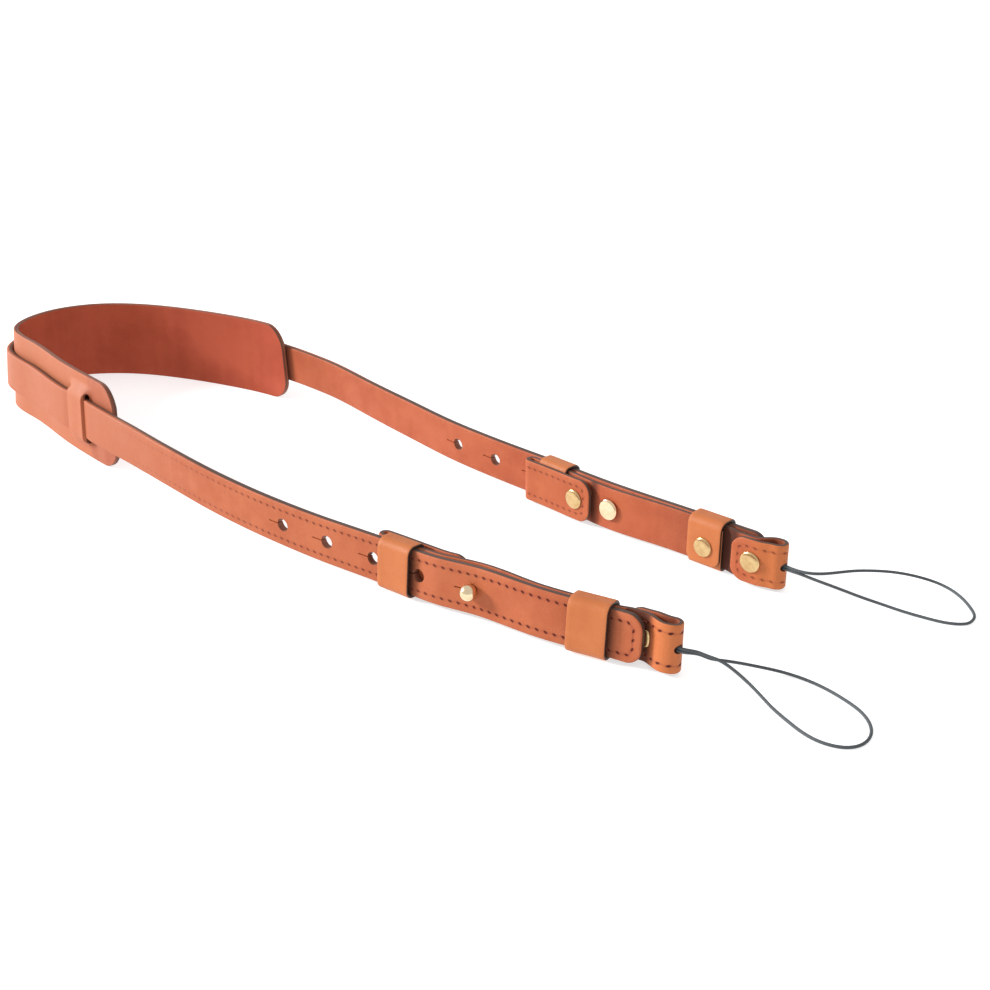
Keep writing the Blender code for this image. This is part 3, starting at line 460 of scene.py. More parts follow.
def stitchPits():
    # slanted holes of a stitch row and the groove between them; stitchUv counts the stitches
    # along it and measures the distance from it across
    tree, given = newTree("stitchPits", {
        "Pitch": 0.003, "Length": 0.0014, "Width": 0.0007, "Slant": 0.3, "Groove": 0.0006,
    }, ("Pit", "Shade", "Groove"))
    place = addNode(tree, "ShaderNodeSeparateXYZ", {0: uvPlace(tree, "stitchUv")})
    along = (maths(tree, "FRACT", place[0]) - 0.5) * given["Pitch"]
    skewed = place[1] - along * given["Slant"]
    reachX, reachY = along / (given["Length"] * 0.5), skewed / (given["Width"] * 0.5)
    reach = maths(tree, "SQRT", reachX * reachX + reachY * reachY)
    shown = ranged(attribute(tree, "side"), *pitForm["face"]) * attribute(tree, "stitched")
    groove = ranged(maths(tree, "ABSOLUTE", place[1]), given["Groove"], 0.0)
    addNode(tree, "NodeGroupOutput", {
        "Pit": ranged(reach, *pitForm["pit"]) * shown, "Shade": ranged(reach, *pitForm["shade"]) * shown,
        "Groove": groove * shown,
    })
    return tree


grainGroup = leatherGrain()
edgeGroup = paintedEdge()
pitGroup = stitchPits()


def newMaterial(name):
    made = bpy.data.materials.new(name)
    made.use_nodes = True
    return made, made.node_tree, made.node_tree.nodes["Principled BSDF"]


def leatherMaterial(name, look):
    made, tree, shader = newMaterial(name)
    grain = addNode(tree, "ShaderNodeGroup", {
        "Grain size": look["grainSize"], "Patch size": look["patchSize"], "Along": uvPlace(tree, "strapUv"),
    }, node_tree=grainGroup)
    edge = addNode(tree, "ShaderNodeGroup", {
        "Width": look["edgeWidth"], "Hole width": look["holeWidth"], "Raggedness": look["raggedness"],
        "Corner": look["edgeCorner"], "Paler corner": look["palerCorner"],
    }, node_tree=edgeGroup)
    pits = addNode(tree, "ShaderNodeGroup", {
        "Pitch": stitchLook["pitch"], "Length": stitchLook["pitLength"], "Width": stitchLook["pitWidth"],
        "Slant": stitchLook["slant"], "Groove": stitchLook["grooveWidth"],
    }, node_tree=pitGroup)
    tone, paint, pit = grain["Tone"], edge["Paint"], pits["Pit"]
    paleAndSheen, shade = attribute(tree, "paleAndSheen"), attribute(tree, "shade")
    side = ranged(attribute(tree, "side"), -look["sideRun"], look["sideRun"])
    rim = blended(edge["Hole"], blended(paleAndSheen, look["edge"], look["paleEdge"]), look["holeWall"])
    outer = blended(tone, look["outerDark"], look["outerLight"])
    colour = blended(side, outer, blended(tone, look["innerDark"], look["innerLight"]))
    # mixed over the colour: pores, rubbed lines, paler leather and painted sheen, painted shade, painted
    # shade in the stitch grooves, round the stitch holes and in them, then the edge paint
    for share, over in (
        (grain["Pores"] * look["poreDepth"], look["pore"]), (edge["Rub"] * look["rub"], look["rubbed"]),
        (paleAndSheen * (1.0 - side), look["paleAndSheen"]), (shade, look["shade"]),
        (pits["Groove"] * look["grooveShade"], look["groove"]),
        (pits["Shade"] * look["pitShade"], look["groove"]), (pit, look["pit"]), (paint, rim),
    ):
        colour = blended(share, colour, over)
    rough = ranged(tone, 0.0, 1.0, *(look["roughness"] + more for more in look["toneRough"]))
    rough = rough + paint * (look["edgeRoughness"] - look["roughness"])
    rough = rough + maths(tree, "MAXIMUM", pit, shade) * look["dulled"]
    grained = bumped(grain["Height"] * (1.0 - paint * look["paintFill"]), look["bump"], look["bumpDepth"])
    dent = pits["Groove"] * -look["grooveDent"] - pit
    dented = bumped(dent, look["pitBump"], look["pitBumpDepth"], grained)
    feed(shader, {"Base Color": colour, "Roughness": rough, "Normal": dented,
                  "Specular IOR Level": look["specular"]})
    return made


stitchLook = {
    "inset": 0.0027,          # from the leather's edge
    "pitch": 0.0030,
    "pitLength": 0.00125,
    "pitWidth": 0.00078,
    "slant": -0.28,
    "grooveWidth": 0.0006,
    "groove": 0.00008,        # depth
    "grooveRun": 0.00045,
    "threadRadius": 0.00015,
    "arch": 0.00012,
    "depth": 0.00026,
    "lift": 0.0005,           # to a place that tells which way is out
    "smallestTurn": 0.0012,
    "wobble": 0.07,
}
leatherLook = {
    "outerLight": (0.45, 0.120, 0.046, 1), "outerDark": (0.38, 0.089, 0.032, 1),
    "innerLight": (0.43, 0.101, 0.038, 1), "innerDark": (0.36, 0.075, 0.028, 1),
    "pore": (0.27, 0.055, 0.022, 1), "poreDepth": 0.30,
    "rubbed": (0.50, 0.15, 0.065, 1), "rub": 0.20,
    # on the next line: the paler colour is painted sheen on the strap and pad, and paler leather round the
    # connectors' folds; the shade colour is painted shade and shadow
    "paleAndSheen": (0.41, 0.117, 0.052, 1), "shade": (0.050, 0.016, 0.010, 1),
    # groove and pit colours: painted shade in the stitch grooves, round the stitch holes and in them
    "groove": (0.24, 0.040, 0.018, 1), "grooveShade": 0.30, "pitShade": 0.34,
    "pit": (0.085, 0.013, 0.007, 1), "holeWall": (0.24, 0.090, 0.052, 1),
    "edge": (0.072, 0.042, 0.033, 1), "paleEdge": (0.115, 0.058, 0.041, 1),
    "edgeWidth": 0.00008, "holeWidth": 0.00006, "raggedness": 0.00005, "sideRun": 0.3,
    "edgeCorner": 0.22, "palerCorner": 0.60, "specular": 0.24,
    "roughness": 0.52, "edgeRoughness": 0.42, "toneRough": (0.06, -0.05), "dulled": 0.35,
    "grainSize": 0.0006, "patchSize": 0.011, "bump": 0.35, "bumpDepth": 0.0002, "paintFill": 0.7,
    "pitBump": 0.8, "pitBumpDepth": 0.0003, "grooveDent": 0.3,
}
keeperLook = dict(
    leatherLook, outerLight=(0.49, 0.153, 0.050, 1), outerDark=(0.44, 0.125, 0.038, 1),
    # the inner face is nearly black: painted shade inside the keeper's loop
    innerLight=(0.055, 0.030, 0.022, 1), innerDark=(0.035, 0.020, 0.015, 1),
    rubbed=(0.54, 0.19, 0.075, 1), edge=(0.040, 0.026, 0.022, 1), edgeCorner=-0.4,
    roughness=0.46, bump=0.28,
)
foldLook = dict(
    leatherLook, outerLight=(0.44, 0.110, 0.040, 1), outerDark=(0.37, 0.082, 0.028, 1),
    paleAndSheen=(0.50, 0.142, 0.043, 1), paleEdge=leatherLook["edge"], palerCorner=0.0,
)
liningLook = dict(
    leatherLook, outerLight=(0.38, 0.070, 0.032, 1), outerDark=(0.31, 0.054, 0.024, 1),
    innerLight=(0.42, 0.078, 0.036, 1), innerDark=(0.345, 0.058, 0.026, 1),
    pore=(0.19, 0.032, 0.014, 1), rubbed=(0.44, 0.085, 0.040, 1), edge=(0.13, 0.066, 0.046, 1),
    edgeWidth=0.0001, edgeCorner=-0.4, roughness=0.66, specular=0.20, patchSize=0.018, bump=0.3,
)
padLook = dict(
    leatherLook, outerLight=(0.405, 0.117, 0.056, 1), outerDark=(0.35, 0.090, 0.041, 1),
    # the paler colour is painted sheen on the pad's face
    paleAndSheen=(0.43, 0.129, 0.057, 1), edge=(0.17, 0.074, 0.048, 1), paleEdge=(0.17, 0.074, 0.048, 1),
    holeWall=(0.17, 0.060, 0.036, 1), edgeWidth=0.00004, edgeCorner=-0.4, palerCorner=0.0,
)

strapLeather = leatherMaterial("strapLeather", leatherLook)
padLeather = leatherMaterial("padLeather", padLook)
foldLeather = leatherMaterial("foldLeather", foldLook)
keeperLeather = leatherMaterial("keeperLeather", keeperLook)
liningLeather = leatherMaterial("liningLeather", liningLook)

brassLook = {
    "dullRange": (0.35, 0.7), "brushing": (1.0, 1.0, 9.0), "scratchScale": 1400.0,
    "scratchRough": 0.5, "bump": 0.12, "bumpDepth": 0.00005,
}
rivetLook = dict(brassLook, bright=(0.66, 0.47, 0.235, 1), deep=(0.54, 0.36, 0.16, 1),
                 smooth=0.20, rough=0.36, dullScale=420.0)
studLook = dict(brassLook, bright=(0.84, 0.69, 0.47, 1), deep=(0.72, 0.55, 0.33, 1),
                smooth=0.14, rough=0.28, dullScale=300.0)


def brassMaterial(name, look):
    # polished brass with faint scratches and finger-dull patches
    made, tree, shader = newMaterial(name)
    place = objectPlace(tree)
    dull = ranged(noise(place, look["dullScale"], 4.0, 0.6), *look["dullRange"])
    brushed = vectorMaths("MULTIPLY", {0: place, 1: look["brushing"]})[0]
    scratches = noise(brushed, look["scratchScale"], 2.0, 0.7)
    rough = dull + scratches * look["scratchRough"]
    feed(shader, {
        "Base Color": blended(dull, look["bright"], look["deep"]), "Metallic": 1.0,
        "Roughness": ranged(rough, 0.0, 1.0 + look["scratchRough"], look["smooth"], look["rough"]),
        "Normal": bumped(scratches, look["bump"], look["bumpDepth"]),
    })
    return made


rivetBrass = brassMaterial("rivetBrass", rivetLook)
studBrass = brassMaterial("studBrass", studLook)

fibreLook = {"scale": 2600.0, "bump": 0.4, "bumpDepth": 0.0001, "roughness": 0.7}


def threadMaterial(name, light, dark):
    made, tree, shader = newMaterial(name)
    tone = noise(objectPlace(tree), fibreLook["scale"], 2.0, 0.6)
    feed(shader, {
        "Base Color": blended(tone, dark, light), "Roughness": fibreLook["roughness"],
        "Normal": bumped(tone, fibreLook["bump"], fibreLook["bumpDepth"]),
    })
    return made


stitchThread = threadMaterial("stitchThread", (0.42, 0.095, 0.038, 1), (0.30, 0.060, 0.024, 1))
cordFibre = threadMaterial("cordFibre", (0.085, 0.098, 0.108, 1), (0.030, 0.034, 0.038, 1))
print("materials made")


# Flat strips: made flat, punched, then bent along their route

gridForm = {
    "spread": (-0.0005, -0.0002, 0.0002, 0.0005),  # close places round a mark
    "closest": 0.00032,       # an even place nearer to a close one is left out
    "closestShare": 0.4,      # or nearer than this share of the step
    "cornerSteps": 10,
    "rimSteps": 4,
    "sideDeg": (-60.0, -30.0, -1e-4, 1e-4, 30.0, 60.0),
}
cutForm = {"beyond": 0.0004, "flareGrowth": 2.2}
farFrom = {"stitches": 0.01, "holes": 0.003}  # stored where a piece has none


def arcPoints(centre, radius, startDeg, endDeg, count=40):
    angles = np.radians(np.linspace(startDeg, endDeg, count))
    return np.column_stack([centre[0] + radius * np.cos(angles), centre[1] + radius * np.sin(angles)])


def placesWithMarks(low, high, step, marks):
    # an even step, and a few close places round each mark
    close = [m + s for m in marks for s in gridForm["spread"] if low < m + s < high]
    close = np.unique(np.round(close, 6))
    even = np.linspace(low, high, max(2, math.ceil((high - low) / step) + 1))
    if len(close):
        away = np.abs(even[:, None] - close[None, :]).min(axis=1)
        keep = away > min(gridForm["closest"], step * gridForm["closestShare"])
        keep[0] = keep[-1] = True
        even = even[keep]
    return np.unique(np.round(np.concatenate((even, close)), 6))


def cornerPlaces(radius, count):
    return [radius * (1 - math.cos(k * math.pi / 2 / count)) for k in range(count + 1)]


def endsOf(size, u):
    # each end's corner radius, and how far a place lies from that end
    return (size["startRadius"], u), (size["endRadius"], size["length"] - u)


def halfWidthAt(size, u):
    # half the strip's width, narrowed by the rounded corners of its ends
    half = np.full_like(u, size["width"] / 2)
    for radius, distance in endsOf(size, u):
        if radius:
            short = np.clip(radius - distance, 0.0, radius)
            half = np.minimum(half, size["width"] / 2 - radius + np.sqrt(radius ** 2 - short ** 2))
    return half


def ringFaces(rings, count, closed=False):
    # faces between rings of points, and on both ends unless the last ring meets the first
    faces = []
    for i in range(rings if closed else rings - 1):
        here, there = i * count, (i + 1) % rings * count
        for k in range(count):
            after = (k + 1) % count
            faces.append((here + k, here + after, there + after, there + k))
    if not closed:
        faces += [tuple(range(count)), tuple(range((rings - 1) * count, rings * count))]
    return faces


def flatStrip(size, marks=()):
    # a grid of points (along, across, through) and its faces; through is - on the outer face
    length, half = size["length"], size["width"] / 2
    closed = size.get("closed", False)
    thick, rim = size["thickness"] / 2, size["rounding"]
    if closed:
        along = np.linspace(0.0, length, math.ceil(length / size["step"]) + 1)[:-1]
        wide, toEnd = np.full_like(along, half), np.full_like(along, length)
    else:
        corners = cornerPlaces(rim, gridForm["rimSteps"])
        starts = corners + cornerPlaces(size["startRadius"], gridForm["cornerSteps"])
        ends = corners + cornerPlaces(size["endRadius"], gridForm["cornerSteps"])
        along = [*placesWithMarks(0.0, length, size["step"], marks), *starts, *(length - e for e in ends)]
        along = np.unique(np.round(along, 5))
        wide, toEnd = halfWidthAt(size, along), np.minimum(along, length - along)
    short = np.clip(rim - toEnd, 0.0, rim)
    deep = thick - rim + np.sqrt(rim ** 2 - short ** 2)
    limit = half - rim
    core = limit - max(size["startRadius"], size["endRadius"])

    def faceRow(columns, sign):
        columns = np.asarray(columns)[None, :]
        beyond = np.clip(np.abs(columns) - core, 0.0, None)
        scale = (wide - rim - core) / max(limit - core, 1e-9)
        across = np.sign(columns) * (np.minimum(np.abs(columns), core) + beyond * scale[:, None])
        across = np.where(np.abs(columns) <= core, columns + 0 * across, across)
        return np.stack([across, np.broadcast_to((sign * deep)[:, None], across.shape)], -1)

    def sideRow(angles, sign):
        angles = np.radians(angles)
        across = (wide - rim)[:, None] + rim * np.cos(angles)[None, :]
        flat = np.clip(deep - rim, 0.0, None)[:, None] * np.sign(np.sin(angles) + 1e-9 * angles)[None, :]
        through = flat + np.minimum(deep, rim)[:, None] * np.sin(angles)[None, :]
        return np.stack([across * sign, through], -1)

    outer = placesWithMarks(-limit, limit, size["across"], ())
    inner = np.linspace(limit, -limit, math.ceil(2 * limit / size["innerAcross"]) + 1)
    up = np.array(gridForm["sideDeg"])
    section = np.concatenate([
        faceRow(outer, -1), sideRow(up, 1), faceRow(inner, 1), sideRow(up[::-1], -1),
    ], axis=1)
    rings, count = section.shape[:2]
    points = np.concatenate([np.broadcast_to(along[:, None, None], (rings, count, 1)), section], -1)
    return points.reshape(-1, 3), ringFaces(rings, count, closed)


def meshFrom(name, points, faces):
    mesh = bpy.data.meshes.new(name)
    mesh.from_pydata([tuple(p) for p in np.asarray(points, dtype=float)], [], faces)
    body = bmesh.new()
    body.from_mesh(mesh)
    bmesh.ops.recalc_face_normals(body, faces=body.faces)
    body.to_mesh(mesh)
    body.free()
    return mesh


def addObject(name, mesh):
    made = bpy.data.objects.new(name, mesh)
    bpy.context.scene.collection.objects.link(made)
    return made


def evaluatedMesh(piece):
    graph = bpy.context.evaluated_depsgraph_get()
    return bpy.data.meshes.new_from_object(piece.evaluated_get(graph))


def punched(points, faces, cutters):
    # takes the cutters out of the flat strip; works in millimetres
    if not cutters:
        return points, faces
    body = addObject("flat", meshFrom("flat", points * 1000, faces))
    tools = []
    for toolPoints, toolFaces in cutters:
        tools.append(addObject("tool", meshFrom("tool", toolPoints * 1000, toolFaces)))
        boolean = body.modifiers.new("hole", "BOOLEAN")
        boolean.operation, boolean.solver, boolean.object = "DIFFERENCE", "EXACT", tools[-1]
    mesh = evaluatedMesh(body)
    made = np.array([v.co for v in mesh.vertices]) / 1000
    madeFaces = [tuple(p.vertices) for p in mesh.polygons]
    for thing in tools + [body]:
        bpy.data.objects.remove(thing, do_unlink=True)
    return made, madeFaces


def prism(outlineAt, depths):
    # a cutter: outlineAt(grow) gives its outline, depths lists through and grow
    rings = [[(x, y, through) for x, y in outlineAt(grow)] for through, grow in depths]
    return np.array([p for ring in rings for p in ring]), ringFaces(len(rings), len(rings[0]))


def flaredDepths(thickness, flare):
    half, grow = thickness / 2, flare * cutForm["flareGrowth"]
    out = half + cutForm["beyond"]
    return [(-out, grow), (-half + flare, 0.0), (half - flare, 0.0), (out, grow)]


def loopSizes(size):
    # the stitch row: a rounded rectangle inside the strip's outline
    inset = stitchLook["inset"]
    reachX, reachY = size["length"] / 2 - inset, size["width"] / 2 - inset
    radius = max(size["startRadius"] - inset, stitchLook["smallestTurn"])
    quarter = reachX + reachY - radius * (2 - math.pi / 2)
    return reachX, reachY, radius, quarter, 2 * round(2 * quarter / stitchLook["pitch"])


def stitchPlaces(size, u, v):
    # each flat point's count along the stitch row, and its distance inside or outside of it
    reachX, reachY, radius, quarter, count = loopSizes(size)
    x, y = u - size["length"] / 2, v
    overX, overY = np.abs(x) - (reachX - radius), np.abs(y) - (reachY - radius)
    toTop, toEnd = reachY - np.abs(y), reachX - np.abs(x)
    corner = (overX > 0) & (overY > 0)
    atTop = toTop < toEnd
    along = np.where(atTop, np.minimum(np.abs(x), reachX - radius),
                     quarter - np.minimum(np.abs(y), reachY - radius))
    turn = reachX - radius + radius * np.arctan2(np.maximum(overX, 0), np.maximum(overY, 1e-9))
    along = np.where(corner, turn, along)
    away = np.where(corner, radius - np.hypot(overX, overY), np.where(atTop, toTop, toEnd))
    along = np.where(y < 0, 2 * quarter - along, along)
    along = np.where(x < 0, 4 * quarter - along, along)
    return along / (4 * quarter) * count, away, count


def stitchHoles(size):
    # the stitch holes' flat places, evenly spaced along the row
    reachX, reachY, radius, _, count = loopSizes(size)
    x, y = reachX - radius, reachY - radius
    turns = [arcPoints((signX * x, signY * y), radius, start, start - 90, 17)
             for signX, signY, start in ((1, 1, 90), (1, -1, 0), (-1, -1, -90), (-1, 1, -180))]
    loop = np.concatenate([[(0.0, reachY)], *turns, [(0.0, reachY)]]) + (size["length"] / 2, 0.0)
    lengths = lengthsAlong(loop)
    return readAt((np.arange(count) + 0.5) * lengths[-1] / count, lengths, loop)


def edgeDistance(size, u, v):
    # how far inside the strip's outline a flat point lies
    half = size["width"] / 2
    if size.get("closed"):
        return half - np.abs(v)
    found = np.minimum(half - np.abs(v), np.minimum(u, size["length"] - u))
    for radius, distance in endsOf(size, u):
        corner = (distance < radius) & (np.abs(v) > half - radius)
        reach = radius - np.hypot(radius - distance, np.abs(v) - (half - radius))
        found = np.where(corner, reach, found)
    return found


def routeFrame(route):
    # a dense flat route: lengths along it, and its left-hand normals
    route = np.asarray(route, dtype=float)
    lengths = lengthsAlong(route)
    tangent = unit(np.gradient(route, lengths, axis=0))
    return route, lengths, np.column_stack([-tangent[:, 1], tangent[:, 0]])


def bent(flat, routing, put):
    route, lengths, normals = routing
    u, v, w = flat.T
    base = readAt(u, lengths, route) + readAt(u, lengths, normals) * w[:, None]
    return put(base[:, 0], base[:, 1], v)


def finishPiece(name, mesh, material, sharpDeg=50):
    mesh.name = name
    mesh.materials.clear()
    mesh.materials.append(material)
    mesh.shade_smooth()
    mesh.set_sharp_from_angle(angle=math.radians(sharpDeg))
    return addObject(name, mesh)


def readInts(items, name):
    found = np.zeros(len(items), dtype=int)
    items.foreach_get(name, found)
    return found


def addUv(mesh, name, u, v):
    uv = mesh.uv_layers.new(name=name)
    uv.data.foreach_set("uv", np.column_stack([u, v]).astype(np.float32).ravel())


def leatherPiece(name, size, routing, put, material, cutters=(), holes=(), stitched=None, marks=(),
                 paleAndSheen=None, shade=None):
    # the whole way from a flat strip to a finished piece; stitched tells how much a stitch row shows
    # along it, paleAndSheen how much paler it is (painted sheen on the strap and pad, paler leather
    # round the folds), shade how much painted shade darkens it, holes lists each one's place, radius
    # and half its straight length
    flat, faces = punched(*flatStrip(size, marks), cutters)
    u, v, w = flat.T.copy()
    side, nothing = w / (size["thickness"] / 2), np.zeros(len(flat))
    count, away, shown = nothing, nothing + farFrom["stitches"], nothing
    if stitched:
        count, away, whole = stitchPlaces(size, u, v)
        shown = stitched(u)
        grooved = np.exp(-(away / stitchLook["grooveRun"]) ** 2) * (side < -0.85)
        w = w + grooved * stitchLook["groove"] * shown
    fromHole = nothing + farFrom["holes"]
    for holeU, holeV, reach, straight in holes:
        beyond = np.hypot(u - holeU, np.clip(np.abs(v - holeV) - straight, 0.0, None)) - reach
        fromHole = np.minimum(fromHole, beyond)
    mesh = meshFrom(name, bent(np.column_stack([u, v, w]), routing, put), faces)
    for label, values in (
        ("fromEdge", edgeDistance(size, u, v)), ("fromHole", fromHole), ("side", side), ("stitched", shown),
        ("paleAndSheen", paleAndSheen(u) if paleAndSheen else nothing), ("shade", shade(u, side) if shade else nothing),
    ):
        made = mesh.attributes.new(label, "FLOAT", "POINT")
        made.data.foreach_set("value", np.asarray(values, np.float32))
    corners = readInts(mesh.loops, "vertex_index")
    addUv(mesh, "strapUv", u[corners], v[corners])
    counts = count[corners]
    if stitched:
        # the row closes on itself, so the counts of one face are kept together
        starts, totals = readInts(mesh.polygons, "loop_start"), readInts(mesh.polygons, "loop_total")
        first = np.repeat(counts[starts], totals)
        counts = counts - whole * np.round((counts - first) / whole)
    addUv(mesh, "stitchUv", counts, away[corners])
    return finishPiece(name, mesh, material)


def settle(piece, slot, *replaced):
    # a finished piece on the strap's body, in place of the solids that it replaces; slot is not used
    if replaced:
        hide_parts(*replaced)
    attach(piece, "root")
    return piece


# Stitches: a thread from hole to hole

def namedVector(tree, name):
    return addNode(tree, "GeometryNodeInputNamedAttribute", {"Name": name}, data_type="FLOAT_VECTOR")[0]


def randomTurn(tree, rotation, low, high, seed):
    # a rotation with a further turn about its own Z
    angle = addNode(tree, "FunctionNodeRandomValue", {2: low, 3: high, "Seed": seed}, data_type="FLOAT")[1]
    turn = addNode(tree, "FunctionNodeAxisAngleToRotation", {"Axis": (0.0, 0.0, 1.0), "Angle": angle})[0]
    return addNode(tree, "FunctionNodeRotateRotation", {"Rotation": rotation, "Rotate By": turn},
                   rotation_space="LOCAL")[0]


def placeAll(tree, given, inputs):
    # the instances, made real, with their material
    placed = addNode(tree, "GeometryNodeInstanceOnPoints", inputs)[0]
    real = addNode(tree, "GeometryNodeRealizeInstances", {"Geometry": placed})[0]
    coloured = addNode(tree, "GeometryNodeSetMaterial", {
        "Geometry": real, "Material": given["Material"],
    })[0]
    addNode(tree, "NodeGroupOutput", {0: coloured})
    return tree


def stitchTree():
    tree, given = newTree("stitches", {
        "Geometry": "Geometry", "Thread radius": 0.00024, "Arch": 0.0003, "Depth": 0.00025,
        "Wobble": 0.05, "Seed": 4, "Material": "Material",
    }, ("Geometry",), "Geometry", "GeometryNodeTree")
    ends = addNode(tree, "GeometryNodeInputMeshEdgeVertices")
    stored = addNode(tree, "GeometryNodeStoreNamedAttribute", {
        "Geometry": given["Geometry"], "Name": "span",
        "Value": vectorMaths("SUBTRACT", {0: ends["Position 2"], 1: ends["Position 1"]})[0],
    }, data_type="FLOAT_VECTOR", domain="EDGE")["Geometry"]
    points = addNode(tree, "GeometryNodeMeshToPoints", {"Mesh": stored}, mode="EDGES")[0]
    span = namedVector(tree, "span")
    aligned = addNode(tree, "FunctionNodeAlignRotationToVector", {"Vector": span}, axis="X")[0]
    turned = addNode(tree, "FunctionNodeAlignRotationToVector", {
        "Rotation": aligned, "Vector": namedVector(tree, "outward"),
    }, axis="Z", pivot_axis="X")[0]
    down = given["Depth"] * -1.0
    corners = {
        key: addNode(tree, "ShaderNodeCombineXYZ", {"X": x, "Z": z})[0]
        for key, x, z in (("Start", -0.5, down), ("Middle", 0.0, given["Arch"]), ("End", 0.5, down))
    }
    line = addNode(tree, "GeometryNodeCurveQuadraticBezier", {"Resolution": 7, **corners})[0]
    ring = addNode(tree, "GeometryNodeCurvePrimitiveCircle", {
        "Resolution": 6, "Radius": given["Thread radius"],
    })[0]
    tube = addNode(tree, "GeometryNodeCurveToMesh", {
        "Curve": line, "Profile Curve": ring, "Fill Caps": True,
    })[0]
    reach = vectorMaths("LENGTH", {0: span})["Value"]
    return placeAll(tree, given, {
        "Points": points, "Instance": tube,
        "Rotation": randomTurn(tree, turned, given["Wobble"] * -1.0, given["Wobble"], given["Seed"]),
        "Scale": addNode(tree, "ShaderNodeCombineXYZ", {"X": reach, "Y": 1.0, "Z": 1.0})[0],
    })


def runTree(name, mesh, tree, values):
    # runs a Geometry Nodes tree on a mesh and keeps the result as a plain mesh
    carrier = addObject(name + "Carrier", mesh)
    modifier = carrier.modifiers.new("nodes", "NODES")
    modifier.node_group = tree
    sockets = {s.name: s.identifier for s in tree.interface.items_tree if s.in_out == "INPUT"}
    for key, value in values.items():
        modifier[sockets[key]] = value
    made = evaluatedMesh(carrier)
    carrier.modifiers.clear()
    bpy.data.objects.remove(carrier, do_unlink=True)
    made.name = name
    return made


def addVectors(mesh, name, vectors):
    mesh.attributes.new(name, "FLOAT_VECTOR", "POINT").data.foreach_set(
        "vector", np.asarray(vectors, np.float32).ravel())


stitchNodes = stitchTree()


def addStitches(name, size, routing, put, seed):
    # the thread of one closed row of stitch holes
    holes = stitchHoles(size)
    level = -size["thickness"] / 2 + stitchLook["groove"]
    flat = np.column_stack([holes, np.full(len(holes), level)])
    places, above = bent(flat, routing, put), bent(flat - (0.0, 0.0, stitchLook["lift"]), routing, put)
    edges = [(k, (k + 1) % len(holes)) for k in range(len(holes))]
    mesh = bpy.data.meshes.new(name)
    mesh.from_pydata([tuple(p) for p in places], edges, [])
    addVectors(mesh, "outward", unit(above - places))
    made = runTree(name, mesh, stitchNodes, {
        "Thread radius": stitchLook["threadRadius"], "Arch": stitchLook["arch"],
        "Depth": stitchLook["depth"], "Wobble": stitchLook["wobble"], "Seed": seed,
        "Material": stitchThread,
    })
    settle(finishPiece(name, made, stitchThread), "strap_leather")


# Pad

padStart = pad["shift"] - pad["span"] / 2
slits = (
    padStart + pad["slitFromEnd"],
    padStart + pad["slitFromEnd"] + pad["bridge"],
    padStart + pad["span"] - pad["slitFromEnd"] - pad["bridge"],
    padStart + pad["span"] - pad["slitFromEnd"],
)
padMesh = {
    "step": 0.0016,
    "outerStep": 0.0009,
    "across": 0.0011,
    "gapShare": 0.8,          # of the gap between the plies, filled by each of them
    "rounding": 0.4,          # of a ply
    "bulgeFrom": 0.0077,      # across the pad: where the bridge starts to fall to the pad
    "bulgeTo": 0.0140,
    "softening": 3.2,         # the bridge's ends fall more gently beyond the slits
    "softenFrom": 0.001,      # from this far before the slits' ends
    "slitOpening": 0.0013,
    "slitFlare": 0.0002,
    "slitMargin": 0.0006,     # the leather doesn't tip along the strap within the slits and this
    "skive": 0.0050,          # the bridge grows thinner over this way towards the pad's middle
    "skiveLead": 0.0008,
    "skived": 1.2,
    "sheenRun": 0.0015,
}


def overBridges(station, run):
    # 1 on both bridges, 0 away from them, changing over a run round each slit
    found = 0.0
    for first, second in (slits[:2], slits[2:]):
        found = found + smoothStep((station - first) / run + 0.5)
        found = found - smoothStep((station - second) / run + 0.5)
    return found


def strapDip(station):
    return pad["dip"] * overBridges(station, pad["dipRun"])


def bridgeLevel(station, across):
    # middle level of the pad's outer leather
    away = np.abs(across)
    bulge = 1 - smoothStep((away - padMesh["bulgeFrom"]) / (padMesh["bulgeTo"] - padMesh["bulgeFrom"]))
    top = strapDip(station) + outerFace - strap["gap"] - pad["ply"] / 2
    beyond = np.clip(away - pad["slitSpan"] / 2 + padMesh["softenFrom"], 0.0, None)
    lift = overBridges(station, pad["slitOpening"] + padMesh["softening"] * beyond)
    return padOuterLevel + (top - padOuterLevel) * bulge * lift


def onLining(station, level, across):
    return onCourse(station, liningLevel + level, across)


def onPadOuter(station, level, across):
    middle, away = bridgeLevel(station, across), np.abs(across)
    slopeAlong = bridgeLevel(station + tinyStep, across) - bridgeLevel(station - tinyStep, across)
    slopeAcross = bridgeLevel(station, across + tinyStep) - bridgeLevel(station, across - tinyStep)
    slopeAlong, slopeAcross = slopeAlong / (2 * tinyStep), slopeAcross / (2 * tinyStep)
    slopeAlong = np.where(away < pad["slitSpan"] / 2 + padMesh["slitMargin"], 0.0, slopeAlong)
    steep = np.sqrt(1 + slopeAlong ** 2 + slopeAcross ** 2)
    for edge, side in ((slits[1], -1), (slits[2], 1)):
        inside = (station - edge) * side
        thin = (inside > -padMesh["skiveLead"]) * (away < pad["slitSpan"] / 2)
        thin = thin * (1 - smoothStep(inside / padMesh["skive"])) * padMesh["skived"]
        level = np.where(level < 0, level * (1 - thin), level)
    return onCourse(station - slopeAlong / steep * level, middle + level / steep,
                    across - slopeAcross / steep * level)


def padSheen(u):
    # painted sheen: paler between the slits of the two ends
    toEnd = pad["span"] / 2 - np.abs(u - pad["span"] / 2)
    return smoothStep((toEnd - pad["slitFromEnd"]) / padMesh["sheenRun"])


